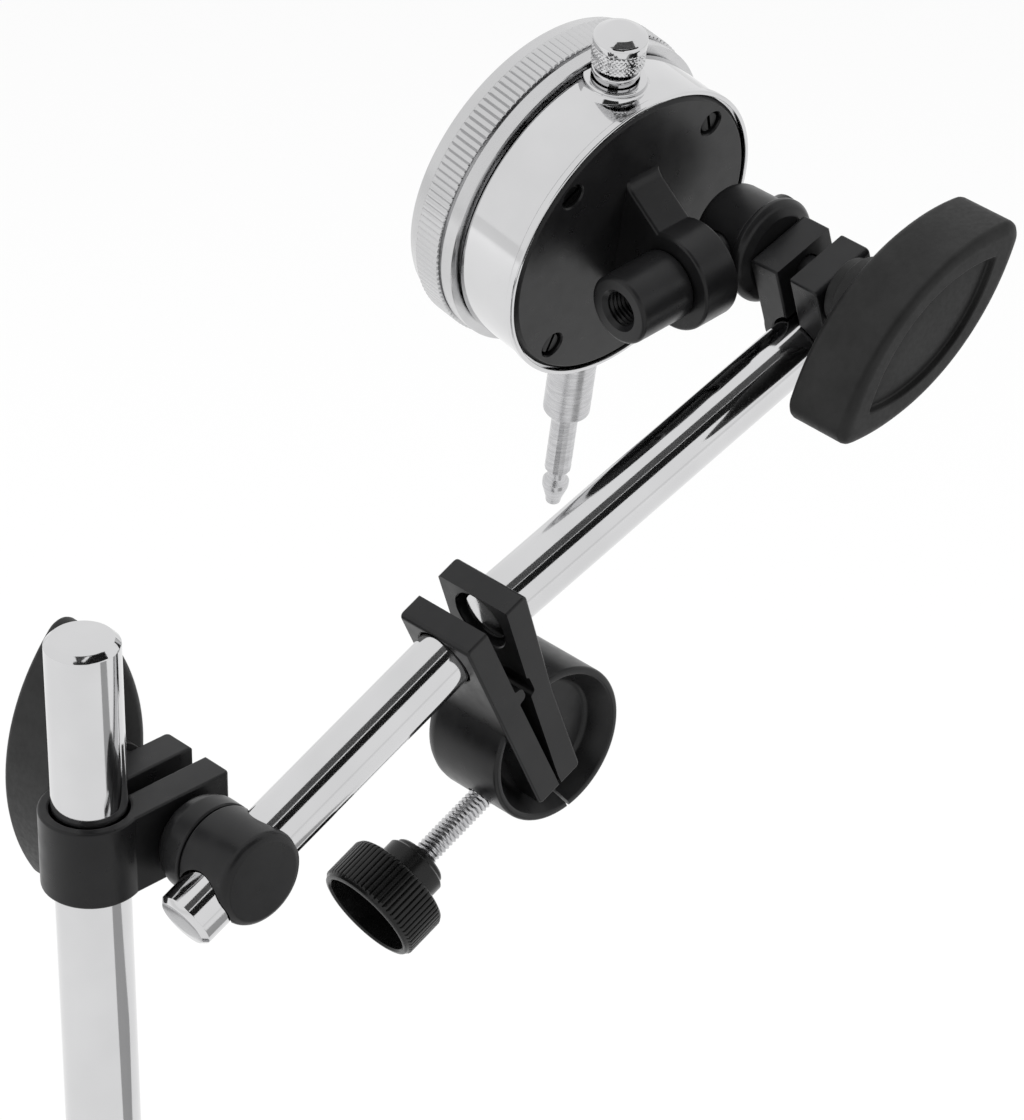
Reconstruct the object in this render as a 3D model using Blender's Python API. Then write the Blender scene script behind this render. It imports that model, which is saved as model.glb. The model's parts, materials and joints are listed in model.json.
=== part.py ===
# Dial indicator on a jointed stand with a switchable magnetic base.
# Metres, +Z up. The arm reaches along +X. The origin is the middle of the front foot strip of the base,
# beside the V groove. Angles are in degrees and turned into radians where they are used.

import math

import bmesh
import bpy
from mathutils import Matrix

for leftover in list(bpy.data.objects):
    bpy.data.objects.remove(leftover)

MM = 0.001

# Shared clearances and mesh settings
GAP = 0.3 * MM
OVERRUN = 2.0 * MM
CASE_STEPS = 32
ROUND_STEPS = 24
FINE_STEPS = 16
SMALL_STEPS = 10
SHARP_ANGLE = 35.0
EDGE_ROUND = 0.5 * MM
FINE_EDGE = 0.25 * MM

# Magnetic base
BASE_LENGTH = 60.0 * MM
BASE_WIDTH = 50.0 * MM
BASE_HEIGHT = 55.0 * MM
BASE_EDGE = 1.0 * MM
VEE_WIDTH = 22.0 * MM
VEE_DEPTH = 6.0 * MM
SPACER_THICKNESS = 4.0 * MM
ROTOR_ROOF = 3.5 * MM
ROTOR_FLOOR = 7.0 * MM
ROTOR_CHAMFER = 0.8 * MM
ROTOR_SHAFT_RADIUS = 5.0 * MM
COVER_THICKNESS = 2.0 * MM
COVER_MARGIN = 0.6 * MM
COVER_CORNER = 3.0 * MM
COVER_SCREW_RADIUS = 1.5 * MM
COVER_SCREW_HEAD = 2.7 * MM
COVER_SCREW_HEAD_HEIGHT = 1.3 * MM
COVER_SCREW_LENGTH = 9.0 * MM
COVER_SCREW_INSET = 5.0 * MM
SWITCH_RADIUS = 18.0 * MM
SWITCH_DISC = 6.0 * MM
SWITCH_GRIP_LENGTH = 31.0 * MM
SWITCH_GRIP_WIDTH = 9.0 * MM
SWITCH_GRIP_HEIGHT = 10.0 * MM
SWITCH_SOCKET = 4.0 * MM

# Post
POST_RADIUS = 6.0 * MM
POST_LENGTH = 176.0 * MM
POST_CHAMFER = 1.0 * MM
POST_FROM_CENTRE = 18.0 * MM
POST_STUD_RADIUS = 4.0 * MM
POST_STUD_LENGTH = 8.5 * MM
POST_ABOVE_CLAMP = 37.5 * MM

# Arm pose, as photographed
ARM_ANGLE = 24.22
JAW_ANGLE = 6.37
EAR_ROLL = 2.20
PIN_ANGLE = -13.81
TILT_ANGLE = -10.16
LOWER_WING_TURN = 8.0
UPPER_WING_TURN = 15.0

# Rods
ROD_RADIUS = 5.0 * MM
ROD_CHAMFER = 0.8 * MM
ROD_TAIL = 12.8 * MM
ROD_1_LENGTH = 64.8 * MM
ROD_2_REACH = 79.1 * MM
ROD_2_PAST_CLAMP = 8.0 * MM

# Lower clamp: collar on the post, bolt across its ears
LOWER = {
    "bore": POST_RADIUS,
    "collar": 8.1 * MM,
    "height": 14.0 * MM,
    "ear_reach": 22.0 * MM,
    "ears": 15.0 * MM,
    "slot": 3.3 * MM,
    "bolt": 12.83 * MM,
    "stud": 3.0 * MM,
    "neck": 5.6 * MM,
    "neck_length": 3.0 * MM,
    "head": 8.0 * MM,
    "head_flat": 7.4 * MM,
    "head_centre": 20.16 * MM,
    "head_half": 5.7 * MM,
    "hole": ROD_RADIUS,
    "washer": 8.0 * MM,
    "washer_rim": 3.4 * MM,
    "dome": 5.0 * MM,
}

# Upper clamp: the same design round rod 2, with a smaller bolt and the lug pin in its head
PIN_RADIUS = 4.0 * MM
UPPER = {
    "bore": ROD_RADIUS,
    "collar": 7.6 * MM,
    "height": 12.8 * MM,
    "ear_reach": 15.4 * MM,
    "ears": 14.8 * MM,
    "slot": 2.8 * MM,
    "bolt": 11.3 * MM,
    "stud": 2.4 * MM,
    "neck": 4.6 * MM,
    "neck_length": 1.2 * MM,
    "head": 8.0 * MM,
    "head_flat": 7.2 * MM,
    "head_centre": 14.52 * MM,
    "head_half": 5.7 * MM,
    "hole": PIN_RADIUS,
    "washer": 9.0 * MM,
    "washer_rim": 1.0 * MM,
    "dome": 6.6 * MM,
}

# Wing knobs
WING_LENGTH = 46.0 * MM
WING_WIDTH = 19.0 * MM
WING_THICKNESS = 12.8 * MM
WING_TIP = 3.0 * MM
WING_RIM = 2.2 * MM
WING_RECESS = 1.2 * MM
WING_EDGE = 1.0 * MM
WING_HUB_RADIUS = 7.0 * MM
WING_HUB_STEP = 5.8 * MM
WING_HUB_LENGTH = 5.6 * MM
WING_SOCKET = 12.0 * MM
COLLAR_ARC_STEPS = 15
LENS_ARC_STEPS = 8
LENS_TIP_STEPS = 3

# Fine adjuster: a drum split by a slit, with a plate on each side of the slit
PLATE_1_INNER = 52.0 * MM
PLATE_2_INNER = 56.4 * MM
PLATE_THICKNESS = 4.7 * MM
PLATE_TOP = 5.0 * MM
PLATE_HALF_WIDTH = 7.9 * MM
BAR_LEFT = 48.5 * MM
BAR_RIGHT = 58.0 * MM
BAR_SHOULDER = -15.5 * MM
BAR_BOTTOM = -35.8 * MM
DRUM_CENTRE_U = 54.4 * MM
DRUM_CENTRE_H = -25.4 * MM
DRUM_RADIUS = 13.8 * MM
DRUM_BACK = 9.0 * MM
DRUM_FRONT = 9.6 * MM
DRUM_BACK_ROUND = 3.0 * MM
DRUM_FRONT_ROUND = 1.2 * MM
DISH_MOUTH = 12.4 * MM
DISH_FLOOR = 9.6 * MM
DISH_DEPTH = 6.2 * MM
SLIT_APEX_U = 53.35 * MM
SLIT_APEX_H = -33.7 * MM
SLIT_APEX_HALF = 0.25 * MM
SLIT_TOP_HALF = 1.35 * MM
NUB_HEIGHT = -12.6 * MM
NUB_HALF = 1.1 * MM
NUB_REACH = 1.0 * MM
FLEX_DEPTH = 2.9 * MM
ADJUST_SCREW_RADIUS = 2.1 * MM
ADJUST_SCREW_H = -30.6 * MM
ADJUST_SCREW_TIP = 3.4 * MM
ADJUST_HOLE_SPARE = 0.6 * MM
KNOB_RADIUS = 9.2 * MM
KNOB_START = 14.4 * MM
KNOB_BAND = 8.3 * MM
KNOB_RIM = 1.5 * MM
KNOB_CUP_DEPTH = 6.4 * MM
KNOB_HUB_RADIUS = 5.4 * MM
KNOB_HUB_STEP = 4.6 * MM
KNOB_HUB_LENGTH = 4.8 * MM
KNOB_NECK_LENGTH = 1.0 * MM
KNOB_SOCKET = 9.0 * MM
KNOB_RIBS = 20
KNOB_RIB_DEPTH = 0.35 * MM

# Lug pin and sleeve nut, measured along the pin from the middle of the upper head
PIN_TAIL = 9.6 * MM
PIN_SHOULDER_RADIUS = 6.2 * MM
PIN_SHOULDER_START = 9.4 * MM
LUG_START = 11.0 * MM
LUG_THICKNESS = 7.4 * MM
LUG_RADIUS = 8.6 * MM
LUG_ROOT_UP = 14.5 * MM
LUG_ROOT_DOWN = 9.5 * MM
PIN_THREAD_RADIUS = 2.7 * MM
SLEEVE_RADIUS = 6.0 * MM
SLEEVE_END = 30.0 * MM
SLEEVE_THREAD_START = 24.0 * MM
SLEEVE_CHAMFER = 0.7 * MM

# Indicator, measured from the outer face of its back cover; its own Z runs to the front
CASE_FROM_PIN = 11.91 * MM
CASE_ALONG_PIN = 15.34 * MM
CASE_ABOVE_PIN = 0.43 * MM
CASE_RADIUS = 26.5 * MM
CASE_INNER = 24.0 * MM
CASE_LIP_RADIUS = 26.9 * MM
CASE_LIP_DEPTH = 1.2 * MM
CASE_DEPTH = 12.3 * MM
NECK_RADIUS = 25.5 * MM
NECK_END = 17.0 * MM
LEDGE_INNER = 22.3 * MM
LEDGE_START = 10.9 * MM
LEDGE_END = 11.4 * MM
COVER_RADIUS = 25.86 * MM
COVER_FLANGE = 1.0 * MM
COVER_SPIGOT_RADIUS = 23.6 * MM
COVER_SPIGOT_END = 2.5 * MM
COVER_SCREW_PLACE = 15.6 * MM
INDICATOR_SCREW_HEAD = 1.9 * MM
INDICATOR_SCREW_SINK = 0.4 * MM
SPINDLE_DEPTH = 8.35 * MM
SPINDLE_RADIUS = 2.25 * MM
SPINDLE_TOP = 33.0 * MM
SPINDLE_BOTTOM = 57.6 * MM
SPINDLE_TRAVEL = 10.0 * MM
STEM_RADIUS = 4.0 * MM
STEM_START = 23.9 * MM
STEM_END = 44.0 * MM
TUBE_RADIUS = 3.7 * MM
TUBE_START = 23.9 * MM
TUBE_END = 28.6 * MM
TUBE_RING_RADIUS = 4.0 * MM
TUBE_RING_END = 29.5 * MM
BOSS_RADIUS = 5.2 * MM
BOSS_END = 27.6 * MM
CAP_RADIUS = 4.45 * MM
CAP_START = 30.4 * MM
CAP_TOP = 36.6 * MM
CAP_EDGE = 0.5 * MM
POINT_RADIUS = 2.27 * MM
POINT_NECK = 1.5 * MM
POINT_BULGE = 60.7 * MM
POINT_END = 65.2 * MM
POINT_STUD_RADIUS = 1.2 * MM
POINT_STUD_LENGTH = 4.0 * MM

# Bezel, dial and crystal
BEZEL_START = 12.8 * MM
BEZEL_PLAIN_RADIUS = 28.0 * MM
BEZEL_PLAIN_END = 15.7 * MM
BEZEL_RADIUS = 28.5 * MM
BEZEL_BAND_END = 20.8 * MM
BEZEL_FRONT_RADIUS = 27.2 * MM
BEZEL_FRONT = 23.5 * MM
BEZEL_LIP_RADIUS = 24.2 * MM
BEZEL_LIP = 0.6 * MM
BEZEL_INNER = 25.9 * MM
BEZEL_RIBS = 40
BEZEL_RIB_DEPTH = 0.35 * MM
CRYSTAL_RADIUS = 25.6 * MM
CRYSTAL_START = 21.2 * MM
CRYSTAL_THICKNESS = 1.3 * MM
CRYSTAL_DOME = 0.5 * MM
DIAL_START = 17.5 * MM
DIAL_THICKNESS = 0.6 * MM
DIAL_RING_RADIUS = 25.3 * MM
DIAL_SPLIT_RADIUS = 16.5 * MM
REHAUT_INNER = 24.3 * MM
POINTER_START = 19.3 * MM
POINTER_THICKNESS = 0.3 * MM
POINTER_LENGTH = 20.5 * MM
POINTER_TAIL = 6.0 * MM
POINTER_WIDTH = 1.6 * MM
POINTER_TIP_WIDTH = 0.5 * MM
POINTER_HUB_RADIUS = 2.0 * MM
POINTER_HUB_TOP = 20.2 * MM
COUNTER_START = 18.5 * MM
COUNTER_LENGTH = 3.2 * MM
COUNTER_TAIL = 1.4 * MM
COUNTER_WIDTH = 0.8 * MM
COUNTER_TIP_WIDTH = 0.4 * MM
COUNTER_HUB_RADIUS = 0.9 * MM

# Movement: rack on the spindle, pinion, wheel, centre pinion, take-up wheel
RACK_PITCH = 1.0 * MM
RACK_PINION_TEETH = 10
RACK_TOOTH_HEIGHT = 0.4 * MM
RACK_FACE = 1.85 * MM
RACK_ABOVE_MESH = 3.0 * MM
WHEEL_TEETH = 60
CENTRE_PINION_TEETH = 6
WHEEL_DISTANCE = 11.0 * MM
ARBOR_RADIUS = 0.6 * MM
REAR_PLATE_START = 11.7 * MM
REAR_PLATE_RADIUS = 23.6 * MM
PLATE_SHEET = 0.8 * MM
FRONT_PLATE_START = 15.5 * MM
FRONT_PLATE_RADIUS = 22.4 * MM
FRONT_BOSS_RADIUS = 3.0 * MM
FRONT_BOSS_END = 17.2 * MM
WHEEL_START = 13.2 * MM
WHEEL_THICKNESS = 0.7 * MM
PINION_START = 6.9 * MM
PINION_END = 9.8 * MM
CENTRE_PINION_START = 12.9 * MM
CENTRE_PINION_END = 14.6 * MM
PILLAR_RADIUS = 1.4 * MM
PILLAR_DISTANCE = 18.8 * MM
PILLAR_ANGLES = (188.0, 8.0, 222.0)
HAIRSPRING_INNER = 1.5 * MM
HAIRSPRING_OUTER = 4.6 * MM
HAIRSPRING_TURNS = 3
HAIRSPRING_STEPS = 12
HAIRSPRING_THICKNESS = 0.16 * MM
HAIRSPRING_HEIGHT = 0.4 * MM
HAIRSPRING_START = 14.4 * MM
GUIDE_HALF_LENGTH = 8.5 * MM
GUIDE_HALF_WIDTH = 2.6 * MM
GUIDE_SLOT_HALF = 1.1 * MM
GUIDE_END_WALL = 1.6 * MM
GUIDE_THICKNESS = 2.2 * MM
GUIDE_PIN_RADIUS = 0.75 * MM
GUIDE_PIN_FROM_REST = 5.0 * MM
SPRING_OFFSET = 5.4 * MM
SPRING_RADIUS = 1.3 * MM
SPRING_WIRE = 0.22 * MM
SPRING_CURLS = 9
SPRING_STEPS = 7
SPRING_LOW = -17.0 * MM
SPRING_HIGH = -3.0 * MM
SPRING_PIN_RADIUS = 0.6 * MM

# Turns of a mesh built along +Z: onto X, Y or the far side
ONTO_X = Matrix.Rotation(math.radians(90.0), 4, "Y")
ONTO_Y = Matrix.Rotation(math.radians(-90.0), 4, "X")
ONTO_MINUS_Y = Matrix.Rotation(math.radians(90.0), 4, "X")
LENGTH_UP_THICKNESS_OUT = Matrix(((0, 1, 0, 0), (0, 0, 1, 0), (1, 0, 0, 0), (0, 0, 0, 1)))


def finish(name, colour, roughness, metallic, alpha=1.0):
    material = bpy.data.materials.new(name)
    material.use_nodes = True
    shader = material.node_tree.nodes["Principled BSDF"]
    shader.inputs["Base Color"].default_value = (*colour, 1.0)
    shader.inputs["Roughness"].default_value = roughness
    shader.inputs["Metallic"].default_value = metallic
    shader.inputs["Alpha"].default_value = alpha
    return material


BLACK_PAINT = ("black_paint", (0.020, 0.020, 0.022), 0.38, 0.0)
BLACK_PLASTIC = ("black_plastic", (0.018, 0.018, 0.018), 0.45, 0.0)
CHROME = ("chrome", (0.80, 0.80, 0.81), 0.08, 1.0)
SATIN_CHROME = ("satin_chrome", (0.72, 0.72, 0.73), 0.25, 1.0)
STEEL = ("steel", (0.56, 0.56, 0.57), 0.30, 1.0)
IRON = ("ground_iron", (0.42, 0.42, 0.43), 0.38, 1.0)
ALUMINIUM = ("aluminium", (0.74, 0.75, 0.76), 0.35, 1.0)
BRASS = ("brass", (0.78, 0.60, 0.28), 0.28, 1.0)
MAGNET = ("magnet_core", (0.22, 0.22, 0.23), 0.55, 1.0)
DIAL_WHITE = ("dial_white", (0.86, 0.86, 0.83), 0.50, 0.0)
HAND_BLACK = ("hand_black", (0.015, 0.015, 0.015), 0.35, 0.0)
GLASS = ("crystal_glass", (0.95, 0.97, 0.97), 0.03, 0.0, 0.25)


def closed_mesh(name, points, faces):
    """A mesh whose faces all point out, smooth but for its sharp edges."""
    mesh = bpy.data.meshes.new(name)
    mesh.from_pydata([tuple(point) for point in points], [], faces)
    work = bmesh.new()
    work.from_mesh(mesh)
    bmesh.ops.recalc_face_normals(work, faces=work.faces)
    work.to_mesh(mesh)
    work.free()
    mesh.shade_smooth()
    mesh.set_sharp_from_angle(angle=math.radians(SHARP_ANGLE))
    return mesh


def stacked(name, loops, ring=False):
    """A solid through loops of equally many points: capped at both ends, or joined end to end as a ring."""
    count = len(loops[0])
    points = [point for loop in loops for point in loop]
    faces = []
    for level in range(len(loops) if ring else len(loops) - 1):
        low = level * count
        high = (level + 1) % len(loops) * count
        for i in range(count):
            j = (i + 1) % count
            faces.append((low + i, low + j, high + j, high + i))
    if not ring:
        last = (len(loops) - 1) * count
        faces.append(tuple(range(count)))
        faces.append(tuple(last + i for i in range(count)))
    return closed_mesh(name, points, faces)


def circle(radius, height, steps, centre=(0.0, 0.0)):
    turns = [2.0 * math.pi * i / steps for i in range(steps)]
    return [(centre[0] + radius * math.cos(t), centre[1] + radius * math.sin(t), height) for t in turns]


def turned(name, profile, steps=ROUND_STEPS, ring=False):
    """A solid of revolution about +Z through (radius, height) points."""
    return stacked(name, [circle(radius, height, steps) for radius, height in profile], ring)


def prism(name, outline, low, high):
    return stacked(name, [[(x, y, z) for x, y in outline] for z in (low, high)])


def slab(name, x, y, z):
    """A box from its (low, high) pairs."""
    outline = [(x[0], y[0]), (x[1], y[0]), (x[1], y[1]), (x[0], y[1])]
    return prism(name, outline, *z)


def arc(centre, radius, start, end, steps):
    """Points from one angle to another, both ends included."""
    angles = [math.radians(start + (end - start) * i / steps) for i in range(steps + 1)]
    return [(centre[0] + radius * math.cos(t), centre[1] + radius * math.sin(t)) for t in angles]


def rounded_box(half_x, half_y, corner, steps=4):
    """Outline of a rectangle with round corners."""
    outline = []
    for quarter, (sx, sy) in enumerate(((1, 1), (-1, 1), (-1, -1), (1, -1))):
        centre = (sx * (half_x - corner), sy * (half_y - corner))
        outline += arc(centre, corner, 90.0 * quarter, 90.0 * (quarter + 1), steps)
    return outline


def frame(name, parent=None, place=Matrix()):
    """An empty that carries pieces and marks a joint."""
    empty = bpy.data.objects.new(name, None)
    bpy.context.collection.objects.link(empty)
    empty.empty_display_size = POST_RADIUS
    empty.parent = parent
    empty.matrix_local = place
    return empty


made_finishes = {}


def piece(name, mesh, look, parent, place=Matrix()):
    """A named sub-part with its material."""
    if look[0] not in made_finishes:
        made_finishes[look[0]] = finish(*look)
    mesh.name = name
    mesh.materials.append(made_finishes[look[0]])
    part = bpy.data.objects.new(name, mesh)
    bpy.context.collection.objects.link(part)
    part.parent = parent
    part.matrix_local = place
    return part


def tool(mesh, parent, place=Matrix()):
    """A hidden shape that cuts or adds to a piece."""
    shape = bpy.data.objects.new(mesh.name + "_tool", mesh)
    bpy.context.collection.objects.link(shape)
    shape.parent = parent
    shape.matrix_local = place
    shape.hide_render = True
    shape.display_type = "WIRE"
    return shape


def combine(part, shape, operation):
    modifier = part.modifiers.new(operation.lower(), "BOOLEAN")
    modifier.operation = operation
    modifier.solver = "EXACT"
    modifier.object = shape


def cut(part, mesh, parent, place=Matrix()):
    combine(part, tool(mesh, parent, place), "DIFFERENCE")


def add(part, mesh, parent, place=Matrix()):
    combine(part, tool(mesh, parent, place), "UNION")


def soften(part, width):
    """Round the sharp edges of a piece."""
    modifier = part.modifiers.new("soft_edges", "BEVEL")
    modifier.width = width
    modifier.segments = 1
    modifier.limit_method = "ANGLE"
    modifier.angle_limit = math.radians(50.0)
    modifier.use_clamp_overlap = True


def shift(x=0.0, y=0.0, z=0.0):
    return Matrix.Translation((x, y, z))


def copies(name, mesh, places):
    """One mesh of separate equal solids."""
    work = bmesh.new()
    for place in places:
        step = bmesh.new()
        step.from_mesh(mesh)
        step.transform(place)
        spare = bpy.data.meshes.new(name)
        step.to_mesh(spare)
        step.free()
        work.from_mesh(spare)
        bpy.data.meshes.remove(spare)
    joined = bpy.data.meshes.new(name)
    work.to_mesh(joined)
    work.free()
    joined.shade_smooth()
    joined.set_sharp_from_angle(angle=math.radians(SHARP_ANGLE))
    return joined


def screw_mesh(name, shank, length, head, head_height, steps=SMALL_STEPS):
    """A countersunk screw along -Z from its flush head at z = 0."""
    profile = [(shank, -length), (shank, -head_height), (head, -head_height * 0.15), (head, 0.0)]
    return turned(name, profile, steps)


# Magnetic base

FOOT_MIDDLE = (BASE_WIDTH + VEE_WIDTH) / 4.0
ROTOR_ROOM = BASE_HEIGHT - POST_STUD_LENGTH - ROTOR_ROOF - ROTOR_FLOOR - VEE_DEPTH
ROTOR_RADIUS = ROTOR_ROOM / 2.0
ROTOR_HEIGHT = VEE_DEPTH + ROTOR_FLOOR + ROTOR_RADIUS
IRON_HALF_LENGTH = BASE_LENGTH / 2.0 - COVER_THICKNESS - GAP
ROTOR_BORE = ROTOR_RADIUS + GAP
COVER_LOW = VEE_DEPTH + COVER_MARGIN
COVER_HIGH = BASE_HEIGHT - COVER_MARGIN
SCREW_DROPS = (COVER_LOW + COVER_SCREW_INSET, COVER_HIGH - COVER_SCREW_INSET)
SCREW_SIDE = BASE_WIDTH / 2.0 - COVER_SCREW_INSET


def iron_half(name, base, side):
    """One pole block: outer wall, foot strip and its flank of the V groove."""
    inner = SPACER_THICKNESS / 2.0 + GAP
    groove_top = VEE_DEPTH * (1.0 - inner / (VEE_WIDTH / 2.0))
    outline = [
        (side * inner, BASE_HEIGHT),
        (side * BASE_WIDTH / 2.0, BASE_HEIGHT),
        (side * BASE_WIDTH / 2.0, 0.0),
        (side * VEE_WIDTH / 2.0, 0.0),
        (side * inner, groove_top),
    ]
    mesh = stacked(name, [[(x, y, z) for y, z in outline] for x in (-IRON_HALF_LENGTH, IRON_HALF_LENGTH)])
    half = piece(name, mesh, IRON, base)
    soften(half, BASE_EDGE)
    bore_reach = IRON_HALF_LENGTH + OVERRUN
    bore = turned("rotor_bore", [(ROTOR_BORE, -bore_reach), (ROTOR_BORE, bore_reach)])
    cut(half, bore, base, shift(z=ROTOR_HEIGHT) @ ONTO_X)
    cut(half, post_hole("post_hole"), base, shift(x=-POST_FROM_CENTRE, z=BASE_HEIGHT))
    for end in (-1, 1):
        holes = copies("screw_holes", screw_hole(), screw_places(end))
        cut(half, holes, base)
    return half


def post_hole(name):
    depth = POST_STUD_LENGTH + GAP
    radius = POST_STUD_RADIUS + GAP
    return turned(name, [(radius, -depth), (radius, OVERRUN)], FINE_STEPS)


def screw_hole():
    depth = COVER_SCREW_LENGTH + GAP
    radius = COVER_SCREW_RADIUS + GAP
    return turned("hole", [(radius, -depth), (radius, OVERRUN)], SMALL_STEPS)


def screw_places(end):
    """Places of the two cover screws at one end, on a diagonal, with +Z of each pointing out of the cover."""
    turn = ONTO_X if end > 0 else Matrix.Rotation(math.radians(-90.0), 4, "Y")
    return [
        shift(end * BASE_LENGTH / 2.0, side * SCREW_SIDE, drop) @ turn
        for side, drop in zip((-1, 1), SCREW_DROPS)
    ]


def base_spacer(base):
    """The nonmagnetic strips between the pole blocks, above and below the rotor."""
    half = SPACER_THICKNESS / 2.0
    reach = IRON_HALF_LENGTH
    groove_top = VEE_DEPTH * (1.0 - half / (VEE_WIDTH / 2.0))
    spans = (("base_upper_spacer", ROTOR_HEIGHT, BASE_HEIGHT), ("base_lower_spacer", groove_top, ROTOR_HEIGHT))
    for name, low, high in spans:
        spacer = piece(name, slab(name, (-reach, reach), (-half, half), (low, high)), ALUMINIUM, base)
        bore_reach = reach + OVERRUN
        bore = turned("spacer_bore", [(ROTOR_BORE, -bore_reach), (ROTOR_BORE, bore_reach)])
        cut(spacer, bore, base, shift(z=ROTOR_HEIGHT) @ ONTO_X)
        if high == BASE_HEIGHT:
            cut(spacer, post_hole("spacer_post_hole"), base, shift(x=-POST_FROM_CENTRE, z=BASE_HEIGHT))


def base_cover(name, base, end):
    """A flat end cover held by four screws."""
    half_height = (COVER_HIGH - COVER_LOW) / 2.0
    outline = rounded_box(BASE_WIDTH / 2.0 - COVER_MARGIN, half_height, COVER_CORNER)
    middle = (COVER_HIGH + COVER_LOW) / 2.0
    low, high = sorted((end * (BASE_LENGTH / 2.0 - COVER_THICKNESS), end * BASE_LENGTH / 2.0))
    mesh = stacked(name, [[(x, y, z + middle) for y, z in outline] for x in (low, high)])
    cover = piece(name, mesh, BLACK_PAINT, base)
    wide = COVER_SCREW_HEAD + GAP
    narrow = COVER_SCREW_RADIUS + GAP
    sink = [
        (narrow, -COVER_THICKNESS - OVERRUN),
        (narrow, -COVER_SCREW_HEAD_HEIGHT - GAP),
        (wide, -GAP),
        (wide, OVERRUN),
    ]
    cut(cover, copies("sinks", turned("sink", sink, SMALL_STEPS), screw_places(end)), base)
    if end > 0:
        radius = ROTOR_SHAFT_RADIUS + GAP
        reach = COVER_THICKNESS + OVERRUN
        hole = turned("shaft_hole", [(radius, -reach), (radius, reach)], FINE_STEPS)
        cut(cover, hole, base, shift(BASE_LENGTH / 2.0, 0.0, ROTOR_HEIGHT) @ ONTO_X)
    screw = screw_mesh("cover_screw", COVER_SCREW_RADIUS, COVER_SCREW_LENGTH, COVER_SCREW_HEAD,
                       COVER_SCREW_HEAD_HEIGHT)
    for number, place in enumerate(screw_places(end), start=1):
        piece(f"{name}_screw_{number}", screw.copy(), STEEL, base, place)


def magnet_switch(base):
    """The magnet rotor with its shaft, and the knob on the shaft."""
    axis = frame("magnet_switch_axis", base, shift(z=ROTOR_HEIGHT))
    reach = IRON_HALF_LENGTH - GAP
    shaft_end = BASE_LENGTH / 2.0 + GAP + SWITCH_SOCKET
    profile = [
        (ROTOR_RADIUS - ROTOR_CHAMFER, -reach),
        (ROTOR_RADIUS, -reach + ROTOR_CHAMFER),
        (ROTOR_RADIUS, reach - ROTOR_CHAMFER),
        (ROTOR_RADIUS - ROTOR_CHAMFER, reach),
        (ROTOR_SHAFT_RADIUS, reach),
        (ROTOR_SHAFT_RADIUS, shaft_end),
    ]
    piece("magnet_rotor", turned("magnet_rotor", profile), MAGNET, axis, ONTO_X)
    start = BASE_LENGTH / 2.0 + GAP
    edge = EDGE_ROUND
    disc = [
        (ROTOR_SHAFT_RADIUS + GAP, start + SWITCH_SOCKET + GAP),
        (ROTOR_SHAFT_RADIUS + GAP, start),
        (SWITCH_RADIUS - edge, start),
        (SWITCH_RADIUS, start + edge),
        (SWITCH_RADIUS, start + SWITCH_DISC - edge),
        (SWITCH_RADIUS - edge, start + SWITCH_DISC),
    ]
    knob = piece("switch_knob", turned("switch_knob", disc), BLACK_PLASTIC, axis, ONTO_X)
    grip_low = start + SWITCH_DISC - edge
    grip_high = start + SWITCH_DISC + SWITCH_GRIP_HEIGHT
    outline = rounded_box(SWITCH_GRIP_LENGTH / 2.0, SWITCH_GRIP_WIDTH / 2.0, SWITCH_GRIP_WIDTH * 0.4)
    inner = rounded_box(SWITCH_GRIP_LENGTH / 2.0 - edge, SWITCH_GRIP_WIDTH / 2.0 - edge, SWITCH_GRIP_WIDTH * 0.3)
    loops = [[(x, y, z) for x, y in line] for line, z in
             ((outline, grip_low), (outline, grip_high - edge), (inner, grip_high))]
    add(knob, stacked("switch_grip", loops), axis, ONTO_X)


def magnetic_base():
    base = frame("base_centre", None, shift(y=FOOT_MIDDLE))
    iron_half("base_front_pole", base, -1)
    iron_half("base_rear_pole", base, 1)
    base_spacer(base)
    base_cover("base_knob_cover", base, 1)
    base_cover("base_end_cover", base, -1)
    magnet_switch(base)
    return base


# Post

def post(base):
    seat = frame("post_seat", base, shift(x=-POST_FROM_CENTRE, z=BASE_HEIGHT))
    profile = [
        (POST_STUD_RADIUS, -POST_STUD_LENGTH),
        (POST_STUD_RADIUS, GAP),
        (POST_RADIUS - EDGE_ROUND, GAP),
        (POST_RADIUS, GAP + EDGE_ROUND),
        (POST_RADIUS, POST_LENGTH - POST_CHAMFER),
        (POST_RADIUS - POST_CHAMFER, POST_LENGTH),
    ]
    piece("post", turned("post", profile), CHROME, seat)
    return seat


# Clamps

def clamp_collar(name, at, size):
    """A split collar: bore along Z, two ears towards +X, bolt hole along Y."""
    half = size["ears"] / 2.0
    slot = size["slot"] / 2.0
    reach = size["ear_reach"]
    bore = size["bore"] + GAP
    outer_turn = math.degrees(math.asin(half / size["collar"]))
    inner_turn = math.degrees(math.asin(slot / bore))
    outline = [(reach, half)]
    outline += arc((0.0, 0.0), size["collar"], outer_turn, 360.0 - outer_turn, COLLAR_ARC_STEPS)
    outline += [(reach, -half), (reach, -slot)]
    outline += arc((0.0, 0.0), bore, 360.0 - inner_turn, inner_turn, COLLAR_ARC_STEPS)
    outline += [(reach, slot)]
    mesh = prism(name, outline, -size["height"] / 2.0, size["height"] / 2.0)
    collar = piece(name, mesh, BLACK_PAINT, at)
    soften(collar, FINE_EDGE)
    radius = size["stud"] + GAP
    hole = turned("stud_hole", [(radius, -half - OVERRUN), (radius, half + OVERRUN)], FINE_STEPS)
    cut(collar, hole, at, shift(x=size["bolt"]) @ ONTO_Y)


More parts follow.
